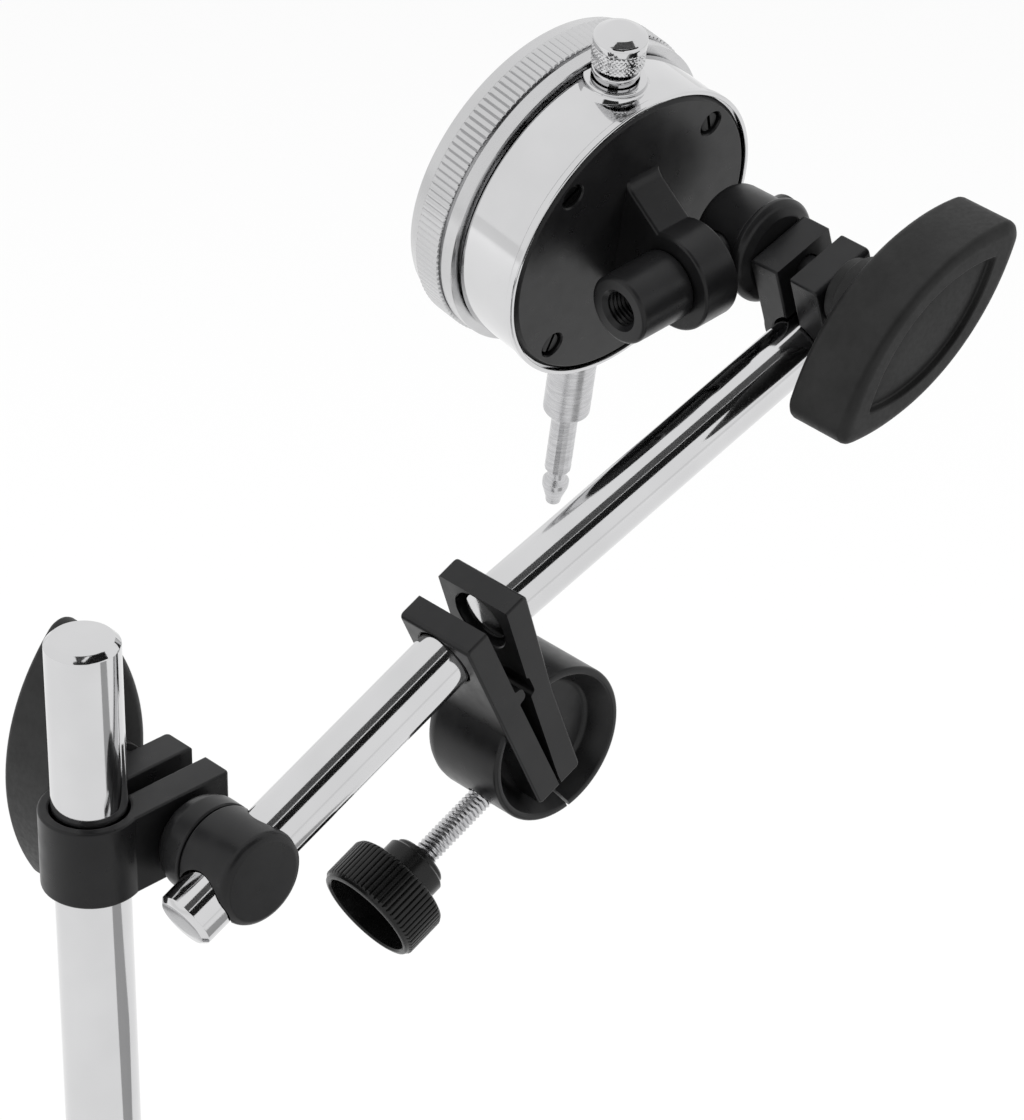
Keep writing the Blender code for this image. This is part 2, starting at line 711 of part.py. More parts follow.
def eye_bolt(name, pivot, size, cross_turn):
    """The drilled head, its neck and its stud, which passes the washer and the ears into the wing knob."""
    centre = size["head_centre"]
    outer = centre + size["head_half"]
    inner = centre - size["hole"]
    neck_end = inner - size["neck_length"]
    stud_end = -(size["ears"] / 2.0 + WING_SOCKET)
    edge = size["head"] - size["head_flat"]
    profile = [
        (size["stud"], stud_end),
        (size["stud"], neck_end),
        (size["neck"], neck_end),
        (size["neck"], inner),
        (size["head"] - FINE_EDGE, inner),
        (size["head"], inner + FINE_EDGE),
        (size["head"], outer - edge * 2.0),
        (size["head"] - edge * 0.3, outer - edge * 0.7),
        (size["head_flat"], outer),
    ]
    bolt = piece(name, turned(name, profile), BLACK_PAINT, pivot, ONTO_MINUS_Y)
    radius = size["hole"] + GAP
    reach = size["head"] + OVERRUN
    hole = turned("cross_hole", [(radius, -reach), (radius, reach)])
    cut(bolt, hole, pivot, shift(y=-centre) @ cross_turn)


def washer(name, pivot, size):
    """A domed washer between the ears and the drilled head."""
    low = size["ears"] / 2.0 + GAP
    high = size["head_centre"] - size["hole"] - GAP
    recess = high - size["neck_length"] - GAP
    rim_low = high - size["washer_rim"]
    bore = size["stud"] + GAP
    profile = [
        (bore, low),
        (size["dome"], low),
        (size["dome"] + (size["washer"] - size["dome"]) * 0.7, low + (rim_low - low) * 0.45),
        (size["washer"], rim_low),
        (size["washer"], high - FINE_EDGE),
        (size["washer"] - FINE_EDGE, high),
        (size["neck"] + GAP, high),
        (size["neck"] + GAP, recess),
        (bore, recess),
    ]
    piece(name, turned(name, profile, ring=True), BLACK_PAINT, pivot, ONTO_MINUS_Y)


def lens(half_length, half_width, height):
    """Two arcs that meet in round tips, long along X."""
    a = half_length - WING_TIP
    b = half_width - WING_TIP
    radius = (a * a + b * b) / (2.0 * b)
    half_turn = math.degrees(math.asin(a / radius))
    outline = []
    for side in (1, -1):
        middle = 90.0 * side
        side_centre = (0.0, side * (b - radius))
        outline += arc(side_centre, radius + WING_TIP, middle - half_turn, middle + half_turn, LENS_ARC_STEPS)
        tip_centre = (-side * a, 0.0)
        tip_start = middle + half_turn
        tip_end = middle + 180.0 - half_turn
        outline += arc(tip_centre, WING_TIP, tip_start, tip_end, LENS_TIP_STEPS)[1:-1]
    return [(x, y, height) for x, y in outline]


def wing_knob(name, axis, size, turn):
    """A lens-shaped hand knob on a stepped hub, threaded on the stud. Built with its thickness along +Z."""
    start = size["ears"] / 2.0 + GAP
    low = start + WING_HUB_LENGTH
    high = low + WING_THICKNESS
    half_length = WING_LENGTH / 2.0
    half_width = WING_WIDTH / 2.0
    levels = [
        (WING_EDGE, low),
        (0.0, low + WING_EDGE),
        (0.0, high - FINE_EDGE),
        (FINE_EDGE, high),
        (WING_RIM - FINE_EDGE, high),
        (WING_RIM, high - WING_RECESS),
    ]
    loops = [lens(half_length - inset * 1.6, half_width - inset, height) for inset, height in levels]
    place = Matrix.Rotation(math.radians(turn), 4, "Y") @ LENGTH_UP_THICKNESS_OUT
    knob = piece(name, stacked(name, loops), BLACK_PLASTIC, axis, place)
    step = start + WING_HUB_LENGTH * 0.45
    hub = [
        (WING_HUB_STEP, start),
        (WING_HUB_STEP, step),
        (WING_HUB_RADIUS, step + FINE_EDGE),
        (WING_HUB_RADIUS, low + WING_EDGE + FINE_EDGE),
    ]
    add(knob, turned("hub", hub), axis, place)
    radius = size["stud"] + GAP
    socket = turned("socket", [(radius, start - OVERRUN), (radius, start + WING_SOCKET)], FINE_STEPS)
    cut(knob, socket, axis, place)


# Arm

def rod_mesh(name, low, high):
    """A chamfered rod along +Z."""
    profile = [
        (ROD_RADIUS - ROD_CHAMFER, low),
        (ROD_RADIUS, low + ROD_CHAMFER),
        (ROD_RADIUS, high - ROD_CHAMFER),
        (ROD_RADIUS - ROD_CHAMFER, high),
    ]
    return turned(name, profile)


def slit_line(side):
    """One wall of the slit in (u, h), from its apex up, for the left (-1) or the right (1) half."""
    lean = math.tan(math.radians(JAW_ANGLE)) if side > 0 else 0.0
    inner = PLATE_2_INNER if side > 0 else PLATE_1_INNER
    nub_low = NUB_HEIGHT - NUB_HALF
    nub_high = NUB_HEIGHT + NUB_HALF
    shoulder = SLIT_APEX_U + side * SLIT_TOP_HALF
    bump = shoulder - side * NUB_REACH if side < 0 else shoulder + NUB_REACH * 0.4
    return [
        (SLIT_APEX_U + side * SLIT_APEX_HALF, SLIT_APEX_H - FLEX_DEPTH * 4.0),
        (SLIT_APEX_U + side * SLIT_APEX_HALF, SLIT_APEX_H),
        (shoulder, nub_low - FINE_EDGE),
        (bump, nub_low),
        (bump, nub_high),
        (inner + lean * (nub_high + NUB_HALF), nub_high + NUB_HALF),
        (inner + lean * (PLATE_TOP + OVERRUN), PLATE_TOP + OVERRUN),
    ]


def bar_outline():
    """Both plates and the bar under them, before the slit, in (u, h)."""
    lean = math.tan(math.radians(JAW_ANGLE))
    right_top = PLATE_2_INNER + PLATE_THICKNESS
    return [
        (PLATE_1_INNER - PLATE_THICKNESS, PLATE_TOP),
        (PLATE_1_INNER - PLATE_THICKNESS, BAR_SHOULDER * 0.6),
        (BAR_LEFT, BAR_SHOULDER),
        (BAR_LEFT, BAR_BOTTOM),
        (BAR_RIGHT, BAR_BOTTOM),
        (right_top + lean * BAR_SHOULDER, BAR_SHOULDER),
        (right_top + lean * PLATE_TOP, PLATE_TOP),
    ]


def side_prism(name, outline, half_width):
    """An outline in (u, h) made solid across the arm."""
    return stacked(name, [[(u, y, h) for u, h in outline] for y in (-half_width, half_width)])


def drum_mesh(name):
    """The drum along +Z: rounded back, and a dished front."""
    back = DRUM_BACK_ROUND
    front = DRUM_FRONT_ROUND
    profile = [
        (DRUM_RADIUS - back, -DRUM_BACK),
        (DRUM_RADIUS - back * 0.3, -DRUM_BACK + back * 0.3),
        (DRUM_RADIUS, -DRUM_BACK + back),
        (DRUM_RADIUS, DRUM_FRONT - front),
        (DRUM_RADIUS - front * 0.3, DRUM_FRONT - front * 0.3),
        (DRUM_RADIUS - front, DRUM_FRONT),
        (DISH_MOUTH, DRUM_FRONT - front * 0.2),
        (DISH_FLOOR, DRUM_FRONT - DISH_DEPTH),
    ]
    return turned(name, profile)


def adjuster_half(name, at, side, tilt_frame):
    """One half of the casting: its plate with the rod's bore, and its share of the drum."""
    half = piece(name, side_prism(name, bar_outline(), PLATE_HALF_WIDTH), BLACK_PAINT, at)
    soften(half, FINE_EDGE)
    add(half, drum_mesh("drum"), at, shift(DRUM_CENTRE_U, 0.0, DRUM_CENTRE_H) @ ONTO_MINUS_Y)
    far = DRUM_CENTRE_U + side * (DRUM_RADIUS + OVERRUN)
    line = slit_line(side)
    keep = line + [(far, line[-1][1]), (far, line[0][1])]
    combine(half, tool(side_prism("keep_side", keep, DRUM_FRONT + OVERRUN), at), "INTERSECT")
    radius = ROD_RADIUS + GAP
    reach = PLATE_THICKNESS + OVERRUN
    bore = turned("rod_bore", [(radius, -reach), (radius, reach)])
    if side < 0:
        cut(half, bore, at, shift(x=PLATE_1_INNER - PLATE_THICKNESS / 2.0) @ ONTO_X)
    else:
        cut(half, bore, tilt_frame, shift(x=PLATE_THICKNESS / 2.0) @ ONTO_X)
    radius = ADJUST_SCREW_RADIUS + (GAP if side < 0 else ADJUST_HOLE_SPARE)
    if side < 0:
        low, high = DRUM_CENTRE_U - DRUM_RADIUS - OVERRUN, SLIT_APEX_U + OVERRUN
    else:
        low, high = SLIT_APEX_U - OVERRUN, SLIT_APEX_U + ADJUST_SCREW_TIP + ADJUST_HOLE_SPARE
    hole = turned("screw_way", [(radius, low), (radius, high)], FINE_STEPS)
    cut(half, hole, at, shift(z=ADJUST_SCREW_H) @ ONTO_X)


def ribbed_loop(radius, depth, ribs, height):
    """A circle with pointed ribs, one point to a crest and one to a valley."""
    points = []
    for i in range(ribs):
        for share, r in ((0.0, radius), (0.5, radius - depth)):
            turn = 2.0 * math.pi * (i + share) / ribs
            points.append((r * math.cos(turn), r * math.sin(turn), height))
    return points


def plain_loop(radius, ribs, height):
    """A circle with as many points as a ribbed loop."""
    return ribbed_loop(radius, 0.0, ribs, height)


def adjuster_screw(at):
    """The adjusting screw and its hollow knurled knob, along the rod's direction."""
    axis = frame("adjuster_screw_axis", at, shift(z=ADJUST_SCREW_H))
    socket_floor = KNOB_START + KNOB_CUP_DEPTH + FINE_EDGE
    knob_end = KNOB_START + KNOB_BAND + KNOB_HUB_LENGTH
    low = max(socket_floor, knob_end - KNOB_SOCKET) + GAP
    high = SLIT_APEX_U + ADJUST_SCREW_TIP
    chamfer = EDGE_ROUND
    profile = [
        (ADJUST_SCREW_RADIUS - chamfer, low),
        (ADJUST_SCREW_RADIUS, low + chamfer),
        (ADJUST_SCREW_RADIUS, high - chamfer),
        (ADJUST_SCREW_RADIUS - chamfer, high),
    ]
    piece("adjuster_screw", turned("adjuster_screw", profile, FINE_STEPS), STEEL, axis, ONTO_X)
    start = KNOB_START
    band_end = start + KNOB_BAND
    hub_end = band_end + KNOB_HUB_LENGTH - KNOB_NECK_LENGTH
    bore = ADJUST_SCREW_RADIUS + GAP
    edge = FINE_EDGE
    ribs = KNOB_RIBS
    cup = KNOB_RADIUS - KNOB_RIM
    loops = [
        plain_loop(bore, ribs, start + KNOB_CUP_DEPTH),
        plain_loop(cup - edge, ribs, start + KNOB_CUP_DEPTH),
        plain_loop(cup, ribs, start),
        plain_loop(KNOB_RADIUS - KNOB_RIB_DEPTH - edge, ribs, start),
        ribbed_loop(KNOB_RADIUS, KNOB_RIB_DEPTH, ribs, start + edge * 2.0),
        ribbed_loop(KNOB_RADIUS, KNOB_RIB_DEPTH, ribs, band_end - edge * 2.0),
        plain_loop(KNOB_RADIUS - KNOB_RIB_DEPTH - edge, ribs, band_end),
        plain_loop(KNOB_HUB_RADIUS, ribs, band_end),
        plain_loop(KNOB_HUB_RADIUS, ribs, hub_end),
        plain_loop(KNOB_HUB_STEP, ribs, hub_end),
        plain_loop(KNOB_HUB_STEP, ribs, hub_end + KNOB_NECK_LENGTH),
        plain_loop(bore, ribs, hub_end + KNOB_NECK_LENGTH),
    ]
    piece("adjuster_knob", stacked("adjuster_knob", loops, ring=True), BLACK_PLASTIC, axis, ONTO_X)


# Lug pin

def lug_pin(pin):
    """The pin in the upper head, its shoulder and thread, and the sleeve nut, along -Z of the pin frame."""
    thread_end = SLEEVE_THREAD_START
    shoulder_end = LUG_START - GAP
    profile = [
        (PIN_RADIUS - EDGE_ROUND, -PIN_TAIL),
        (PIN_RADIUS, -PIN_TAIL + EDGE_ROUND),
        (PIN_RADIUS, PIN_SHOULDER_START),
        (PIN_SHOULDER_RADIUS, PIN_SHOULDER_START),
        (PIN_SHOULDER_RADIUS, shoulder_end),
        (PIN_THREAD_RADIUS, shoulder_end),
        (PIN_THREAD_RADIUS, thread_end - EDGE_ROUND),
        (PIN_THREAD_RADIUS - EDGE_ROUND, thread_end),
    ]
    away = Matrix.Rotation(math.radians(180.0), 4, "X")
    piece("lug_pin", turned("lug_pin", profile, FINE_STEPS), BLACK_PAINT, pin, away)
    start = LUG_START + LUG_THICKNESS + GAP
    bore = PIN_THREAD_RADIUS + GAP
    edge = SLEEVE_CHAMFER
    sleeve = [
        (bore, start),
        (SLEEVE_RADIUS, start),
        (SLEEVE_RADIUS, SLEEVE_END - edge),
        (SLEEVE_RADIUS - edge, SLEEVE_END),
        (bore + edge, SLEEVE_END),
        (bore, SLEEVE_END - edge),
    ]
    piece("sleeve_nut", turned("sleeve_nut", sleeve, FINE_STEPS, ring=True), BLACK_PAINT, pin, away)


# Indicator

LUG_X = (LUG_START - CASE_ALONG_PIN, LUG_START - CASE_ALONG_PIN + LUG_THICKNESS)
UP_CASE = shift(z=SPINDLE_DEPTH) @ ONTO_Y
PINION_RADIUS = RACK_PITCH * RACK_PINION_TEETH / (2.0 * math.pi)
WHEEL_MODULE = 2.0 * WHEEL_DISTANCE / (WHEEL_TEETH + CENTRE_PINION_TEETH)
PINION_X = -(RACK_FACE - RACK_TOOTH_HEIGHT / 2.0 + PINION_RADIUS)
PINION_Y = math.sqrt(WHEEL_DISTANCE ** 2 - PINION_X ** 2)


def indicator_case(case):
    shell = [
        (CASE_LIP_RADIUS - EDGE_ROUND, 0.0),
        (CASE_LIP_RADIUS, EDGE_ROUND),
        (CASE_LIP_RADIUS, CASE_LIP_DEPTH),
        (CASE_RADIUS, CASE_LIP_DEPTH + EDGE_ROUND),
        (CASE_RADIUS, CASE_DEPTH - EDGE_ROUND),
        (CASE_RADIUS - EDGE_ROUND, CASE_DEPTH),
        (NECK_RADIUS, CASE_DEPTH),
        (NECK_RADIUS, NECK_END),
        (CASE_INNER, NECK_END),
        (CASE_INNER, LEDGE_END),
        (LEDGE_INNER, LEDGE_END),
        (LEDGE_INNER, LEDGE_START),
        (CASE_INNER, LEDGE_START),
        (CASE_INNER, COVER_FLANGE + GAP),
        (COVER_RADIUS + GAP, COVER_FLANGE + GAP),
        (COVER_RADIUS + GAP, 0.0),
    ]
    body = piece("indicator_case", turned("indicator_case", shell, CASE_STEPS, ring=True), CHROME, case)
    boss = [
        (BOSS_RADIUS, CASE_INNER + EDGE_ROUND),
        (BOSS_RADIUS, CASE_RADIUS - EDGE_ROUND),
        (TUBE_RADIUS + GAP + EDGE_ROUND, BOSS_END),
    ]
    boss_tool = tool(turned("boss", boss, FINE_STEPS), case, UP_CASE)
    reach = BOSS_RADIUS + OVERRUN
    cut(boss_tool, slab("boss_trim", (-reach, reach), (TUBE_START, BOSS_END + OVERRUN),
                        (CASE_DEPTH - FINE_EDGE, SPINDLE_DEPTH + reach)), case)
    combine(body, boss_tool, "UNION")
    top = turned("tube_hole", [(TUBE_RADIUS + GAP, LEDGE_INNER), (TUBE_RADIUS + GAP, BOSS_END + OVERRUN)], FINE_STEPS)
    cut(body, top, case, UP_CASE)
    low = turned("stem_hole", [(STEM_RADIUS + GAP, -CASE_LIP_RADIUS - OVERRUN), (STEM_RADIUS + GAP, -LEDGE_INNER)],
                 FINE_STEPS)
    cut(body, low, case, UP_CASE)


def tube_pieces(case):
    """The stem below the case and the short tube above it, both bored for the spindle."""
    bore = SPINDLE_RADIUS + GAP
    edge = EDGE_ROUND
    stem = [
        (bore, -STEM_START),
        (STEM_RADIUS, -STEM_START),
        (STEM_RADIUS, -STEM_END + edge),
        (STEM_RADIUS - edge, -STEM_END),
        (bore, -STEM_END),
    ]
    piece("stem", turned("stem", stem, FINE_STEPS, ring=True), STEEL, case, UP_CASE)
    tube = [
        (bore, TUBE_START),
        (TUBE_RADIUS, TUBE_START),
        (TUBE_RADIUS, TUBE_END),
        (TUBE_RING_RADIUS, TUBE_END + FINE_EDGE),
        (TUBE_RING_RADIUS, TUBE_RING_END - FINE_EDGE),
        (TUBE_RADIUS, TUBE_RING_END),
        (bore, TUBE_RING_END),
    ]
    piece("cap_tube", turned("cap_tube", tube, FINE_STEPS, ring=True), CHROME, case, UP_CASE)


def back_cover(case):
    """The back cover with its lug, bored for the pin."""
    disc = [
        (COVER_RADIUS, 0.0),
        (COVER_RADIUS, COVER_FLANGE),
        (COVER_SPIGOT_RADIUS, COVER_FLANGE),
        (COVER_SPIGOT_RADIUS, COVER_SPIGOT_END),
    ]
    cover = piece("back_cover", turned("back_cover", disc, CASE_STEPS), BLACK_PAINT, case)
    pin_y = -CASE_ABOVE_PIN
    pin_z = -CASE_FROM_PIN
    root = COVER_FLANGE
    outline = [(LUG_ROOT_UP, root), (LUG_ROOT_UP, -GAP)]
    outline += arc((pin_y, pin_z), LUG_RADIUS, 28.0, -180.0, 18)
    outline += [(-LUG_ROOT_DOWN, -GAP), (-LUG_ROOT_DOWN, root)]
    lug = stacked("lug", [[(x, y, z) for y, z in outline] for x in LUG_X])
    add(cover, lug, case)
    radius = PIN_THREAD_RADIUS + GAP
    low, high = LUG_X[0] - OVERRUN, LUG_X[1] + OVERRUN
    cut(cover, turned("pin_hole", [(radius, low), (radius, high)], FINE_STEPS), case,
        shift(0.0, pin_y, pin_z) @ ONTO_X)
    recess = [
        (INDICATOR_SCREW_HEAD + GAP, COVER_SPIGOT_END + OVERRUN),
        (INDICATOR_SCREW_HEAD + GAP, -OVERRUN),
    ]
    cut(cover, copies("recesses", turned("recess", recess, SMALL_STEPS), cover_screw_places()), case)
    screw = [
        (INDICATOR_SCREW_HEAD, INDICATOR_SCREW_SINK),
        (INDICATOR_SCREW_HEAD, COVER_SPIGOT_END),
    ]
    for number, place in enumerate(cover_screw_places(), start=1):
        piece(f"back_cover_screw_{number}", turned("screw", screw, SMALL_STEPS), STEEL, case, place)


def cover_screw_places():
    place = COVER_SCREW_PLACE
    return [shift(sx * place, sy * place) for sx in (-1, 1) for sy in (-1, 1)]


def spindle_pieces(case):
    """The sliding rod with its rack and spring arm, the contact point, the lifting cap and the guide pin."""
    axis = frame("spindle_axis", case, UP_CASE)
    blank = [
        (SPINDLE_RADIUS - FINE_EDGE, -SPINDLE_BOTTOM),
        (SPINDLE_RADIUS, -SPINDLE_BOTTOM + FINE_EDGE),
        (SPINDLE_RADIUS, SPINDLE_TOP - FINE_EDGE),
        (SPINDLE_RADIUS - FINE_EDGE, SPINDLE_TOP),
    ]
    spindle = piece("spindle", turned("spindle", blank, FINE_STEPS), STEEL, axis)
    low = PINION_Y - SPINDLE_TRAVEL - RACK_ABOVE_MESH
    high = PINION_Y + RACK_ABOVE_MESH
    cut(spindle, rack_cutter("rack_gaps", low, high), axis)
    socket = turned("point_socket", [(POINT_STUD_RADIUS + GAP, -SPINDLE_BOTTOM - OVERRUN),
                                     (POINT_STUD_RADIUS + GAP, -SPINDLE_BOTTOM + POINT_STUD_LENGTH + GAP)],
                    SMALL_STEPS)
    cut(spindle, socket, axis)
    arm_place = shift(z=SPRING_HIGH + GAP + SPRING_WIRE + SPRING_PIN_RADIUS) @ ONTO_X
    arm = turned("spring_arm", [(SPRING_PIN_RADIUS, 0.0), (SPRING_PIN_RADIUS, SPRING_OFFSET + SPRING_RADIUS)],
                 SMALL_STEPS)
    add(spindle, arm, axis, arm_place)
    pin_hole = turned("guide_pin_hole", [(GUIDE_PIN_RADIUS + GAP, SPINDLE_RADIUS * 0.3),
                                         (GUIDE_PIN_RADIUS + GAP, SPINDLE_RADIUS + OVERRUN)], SMALL_STEPS)
    pin_place = shift(z=GUIDE_PIN_FROM_REST) @ ONTO_Y
    cut(spindle, pin_hole, axis, pin_place)
    pin_top = SPINDLE_DEPTH - COVER_SPIGOT_END - GAP * 3.0
    pin = turned("guide_pin", [(GUIDE_PIN_RADIUS, SPINDLE_RADIUS * 0.3 + GAP), (GUIDE_PIN_RADIUS, pin_top)],
                 SMALL_STEPS)
    piece("guide_pin", pin, STEEL, axis, pin_place)
    point = [
        (POINT_RADIUS * 0.25, -POINT_END),
        (POINT_RADIUS * 0.52, -POINT_END + POINT_RADIUS * 0.2),
        (POINT_RADIUS * 0.6, -POINT_END + POINT_RADIUS * 0.5),
        (POINT_RADIUS, -POINT_BULGE - POINT_RADIUS * 0.3),
        (POINT_RADIUS, -POINT_BULGE + POINT_RADIUS * 0.2),
        (POINT_NECK, -POINT_BULGE + POINT_RADIUS * 0.6),
        (POINT_NECK, -SPINDLE_BOTTOM - GAP),
        (POINT_STUD_RADIUS, -SPINDLE_BOTTOM - GAP),
        (POINT_STUD_RADIUS, -SPINDLE_BOTTOM + POINT_STUD_LENGTH),
    ]
    piece("contact_point", turned("contact_point", point, FINE_STEPS), STEEL, axis)
    bore = SPINDLE_RADIUS + GAP
    cap = [
        (bore, SPINDLE_TOP + GAP),
        (bore, CAP_START),
        (CAP_RADIUS - FINE_EDGE, CAP_START),
        (CAP_RADIUS, CAP_START + FINE_EDGE),
        (CAP_RADIUS, CAP_TOP - CAP_EDGE * 2.0),
        (CAP_RADIUS - CAP_EDGE * 0.4, CAP_TOP - CAP_EDGE),
        (CAP_RADIUS * 0.6, CAP_TOP),
    ]
    piece("lifting_cap", turned("lifting_cap", cap, FINE_STEPS), CHROME, axis)


def rack_cutter(name, low, high):
    """Everything that is cut away for the rack, on the spindle's -X side, as one comb."""
    root = -(RACK_FACE - RACK_TOOTH_HEIGHT)
    face = -RACK_FACE
    far = -SPINDLE_RADIUS - OVERRUN
    first = math.ceil((low - PINION_Y) / RACK_PITCH)
    last = math.floor((high - PINION_Y) / RACK_PITCH)
    outline = [(far, low), (face, low)]
    for i in range(first, last + 1):
        middle = PINION_Y + i * RACK_PITCH
        for share, x in ((-0.34, face), (-0.24, root), (0.24, root), (0.34, face)):
            outline.append((x, middle + share * RACK_PITCH))
    outline += [(face, high), (far, high)]
    reach = SPINDLE_RADIUS + OVERRUN
    return stacked(name, [[(x, y, z) for x, z in outline] for y in (-reach, reach)])


def gear_outline(teeth, pitch_radius, module, first_turn, pointed=False):
    """Trapezoid or pointed teeth, a tooth centred on the first turn."""
    tip = pitch_radius + 0.55 * module
    root = pitch_radius - 0.75 * module
    flat_tooth = ((-0.27, root), (-0.12, tip), (0.12, tip), (0.27, root))
    pointed_tooth = ((-0.3, root), (0.0, tip), (0.3, root))
    outline = []
    for i in range(teeth):
        for share, radius in pointed_tooth if pointed else flat_tooth:
            turn = first_turn + 2.0 * math.pi * (i + share) / teeth
            outline.append((radius * math.cos(turn), radius * math.sin(turn)))
    return outline


def arbor(name, low, high):
    return turned(name, [(ARBOR_RADIUS, low), (ARBOR_RADIUS, high)], SMALL_STEPS)


def movement_gears(case):
    """Rack pinion with its wheel, centre pinion, and the take-up wheel with its spiral spring."""
    wheel_radius = WHEEL_MODULE * WHEEL_TEETH / 2.0
    centre_radius = WHEEL_MODULE * CENTRE_PINION_TEETH / 2.0
    wheel_end = WHEEL_START + WHEEL_THICKNESS
    tooth_turn = math.pi / CENTRE_PINION_TEETH

    drive = frame("rack_pinion_axis", case, shift(PINION_X, PINION_Y))
    hand_end = COUNTER_START + POINTER_THICKNESS + GAP
    wheel = piece("rack_wheel", arbor("rack_wheel", PINION_START, hand_end), BRASS, drive)
    rack_module = RACK_PITCH / math.pi
    pinion = prism("pinion", gear_outline(RACK_PINION_TEETH, PINION_RADIUS, rack_module, 0.0),
                   PINION_START + FINE_EDGE, PINION_END)
    add(wheel, pinion, drive)
    to_centre = math.atan2(-PINION_Y, -PINION_X)
    add(wheel, prism("wheel", gear_outline(WHEEL_TEETH, wheel_radius, WHEEL_MODULE, to_centre, True),
                     WHEEL_START, wheel_end), drive)

    centre = frame("pointer_axis", case)
    shaft = arbor("centre_pinion", REAR_PLATE_START - PLATE_SHEET, POINTER_HUB_TOP - GAP * 2.0)
    centre_pinion = piece("centre_pinion", shaft, BRASS, centre)
    from_drive = to_centre + math.pi + tooth_turn
    teeth = gear_outline(CENTRE_PINION_TEETH, centre_radius, WHEEL_MODULE, from_drive)
    add(centre_pinion, prism("centre_teeth", teeth, CENTRE_PINION_START, CENTRE_PINION_END), centre)

    take_up = frame("take_up_axis", case, shift(-PINION_X, -PINION_Y))
    take_up_wheel = piece("take_up_wheel", arbor("take_up_wheel", REAR_PLATE_START - PLATE_SHEET,
                                                 FRONT_PLATE_START + PLATE_SHEET * 1.5), BRASS, take_up)
    facing = to_centre + math.pi
    teeth = gear_outline(WHEEL_TEETH, wheel_radius, WHEEL_MODULE, facing, True)
    add(take_up_wheel, prism("take_up_teeth", teeth, WHEEL_START, wheel_end), take_up)

    loops = []
    count = HAIRSPRING_TURNS * HAIRSPRING_STEPS
    for i in range(count + 1):
        turn = 2.0 * math.pi * i / HAIRSPRING_STEPS
        radius = HAIRSPRING_INNER + (HAIRSPRING_OUTER - HAIRSPRING_INNER) * i / count
        section = []
        for r, z in ((0.0, 0.0), (HAIRSPRING_THICKNESS, 0.0), (HAIRSPRING_THICKNESS, HAIRSPRING_HEIGHT),
                     (0.0, HAIRSPRING_HEIGHT)):
            reach = radius + r
            section.append((reach * math.cos(turn), reach * math.sin(turn), HAIRSPRING_START + z))
        loops.append(section)
    piece("hairspring", stacked("hairspring", loops), STEEL, case, shift(-PINION_X, -PINION_Y))


def movement_plates(case):
    """The two plates that carry the gears, the pillars between them, and the spindle's guide."""
    hole = ARBOR_RADIUS + GAP
    arbors = [shift(PINION_X, PINION_Y), shift(), shift(-PINION_X, -PINION_Y)]
    holes = copies("arbor_holes", turned("arbor_hole", [(hole, 0.0), (hole, FRONT_BOSS_END + OVERRUN)],
                                         SMALL_STEPS), arbors)
    rear = turned("rear_plate", [(REAR_PLATE_RADIUS, REAR_PLATE_START),
                                 (REAR_PLATE_RADIUS, REAR_PLATE_START + PLATE_SHEET)])
    rear_plate = piece("movement_rear_plate", rear, BRASS, case)
    anchor_y = SPRING_LOW - GAP - SPRING_WIRE - SPRING_PIN_RADIUS
    anchor = turned("spring_anchor", [(SPRING_PIN_RADIUS, SPINDLE_DEPTH - SPRING_RADIUS),
                                      (SPRING_PIN_RADIUS, REAR_PLATE_START + PLATE_SHEET / 2.0)], SMALL_STEPS)
    add(rear_plate, anchor, case, shift(SPRING_OFFSET, anchor_y))
    pillar = turned("pillar", [(PILLAR_RADIUS, REAR_PLATE_START + PLATE_SHEET / 2.0),
                               (PILLAR_RADIUS, FRONT_PLATE_START - GAP)], SMALL_STEPS)
    places = [Matrix.Rotation(math.radians(angle), 4, "Z") @ shift(PILLAR_DISTANCE) for angle in PILLAR_ANGLES]
    add(rear_plate, copies("pillars", pillar, places), case)
    cut(rear_plate, holes, case)
    low = FRONT_PLATE_START
    front = turned("front_plate", [
        (FRONT_PLATE_RADIUS, low),
        (FRONT_PLATE_RADIUS, low + PLATE_SHEET),
        (FRONT_BOSS_RADIUS, low + PLATE_SHEET),
        (FRONT_BOSS_RADIUS, FRONT_BOSS_END),
    ])
    front_plate = piece("movement_front_plate", front, BRASS, case)
    cut(front_plate, holes, case)
    start = COVER_SPIGOT_END + GAP
    half_length = GUIDE_HALF_LENGTH
    middle = GUIDE_PIN_FROM_REST + SPINDLE_TRAVEL / 2.0
    block = slab("spindle_guide", (-GUIDE_HALF_WIDTH, GUIDE_HALF_WIDTH),
                 (middle - half_length, middle + half_length), (start, start + GUIDE_THICKNESS))
    guide = piece("spindle_guide", block, BRASS, case)
    slot_half = half_length - GUIDE_END_WALL
    slot = slab("guide_slot", (-GUIDE_SLOT_HALF, GUIDE_SLOT_HALF), (middle - slot_half, middle + slot_half),
                (start - OVERRUN, start + GUIDE_THICKNESS + OVERRUN))
    cut(guide, slot, case)


def return_spring(case):
    """A pull spring beside the spindle, from the anchor on the rear plate to the spindle's arm."""
    count = SPRING_CURLS * SPRING_STEPS
    line = bpy.data.curves.new("return_spring", "CURVE")
    line.dimensions = "3D"
    line.bevel_depth = SPRING_WIRE
    line.bevel_resolution = 0
    line.use_fill_caps = True
    coil = line.splines.new("POLY")
    coil.points.add(count)
    for i in range(count + 1):
        turn = 2.0 * math.pi * i / SPRING_STEPS
        along = SPRING_LOW + (SPRING_HIGH - SPRING_LOW) * i / count
        coil.points[i].co = (SPRING_RADIUS * math.cos(turn), SPRING_RADIUS * math.sin(turn), along, 1.0)
    spring = bpy.data.objects.new("return_spring", line)
    bpy.context.collection.objects.link(spring)
    line.materials.append(made_finishes[STEEL[0]])
    spring.parent = case
    spring.matrix_local = shift(x=SPRING_OFFSET) @ UP_CASE


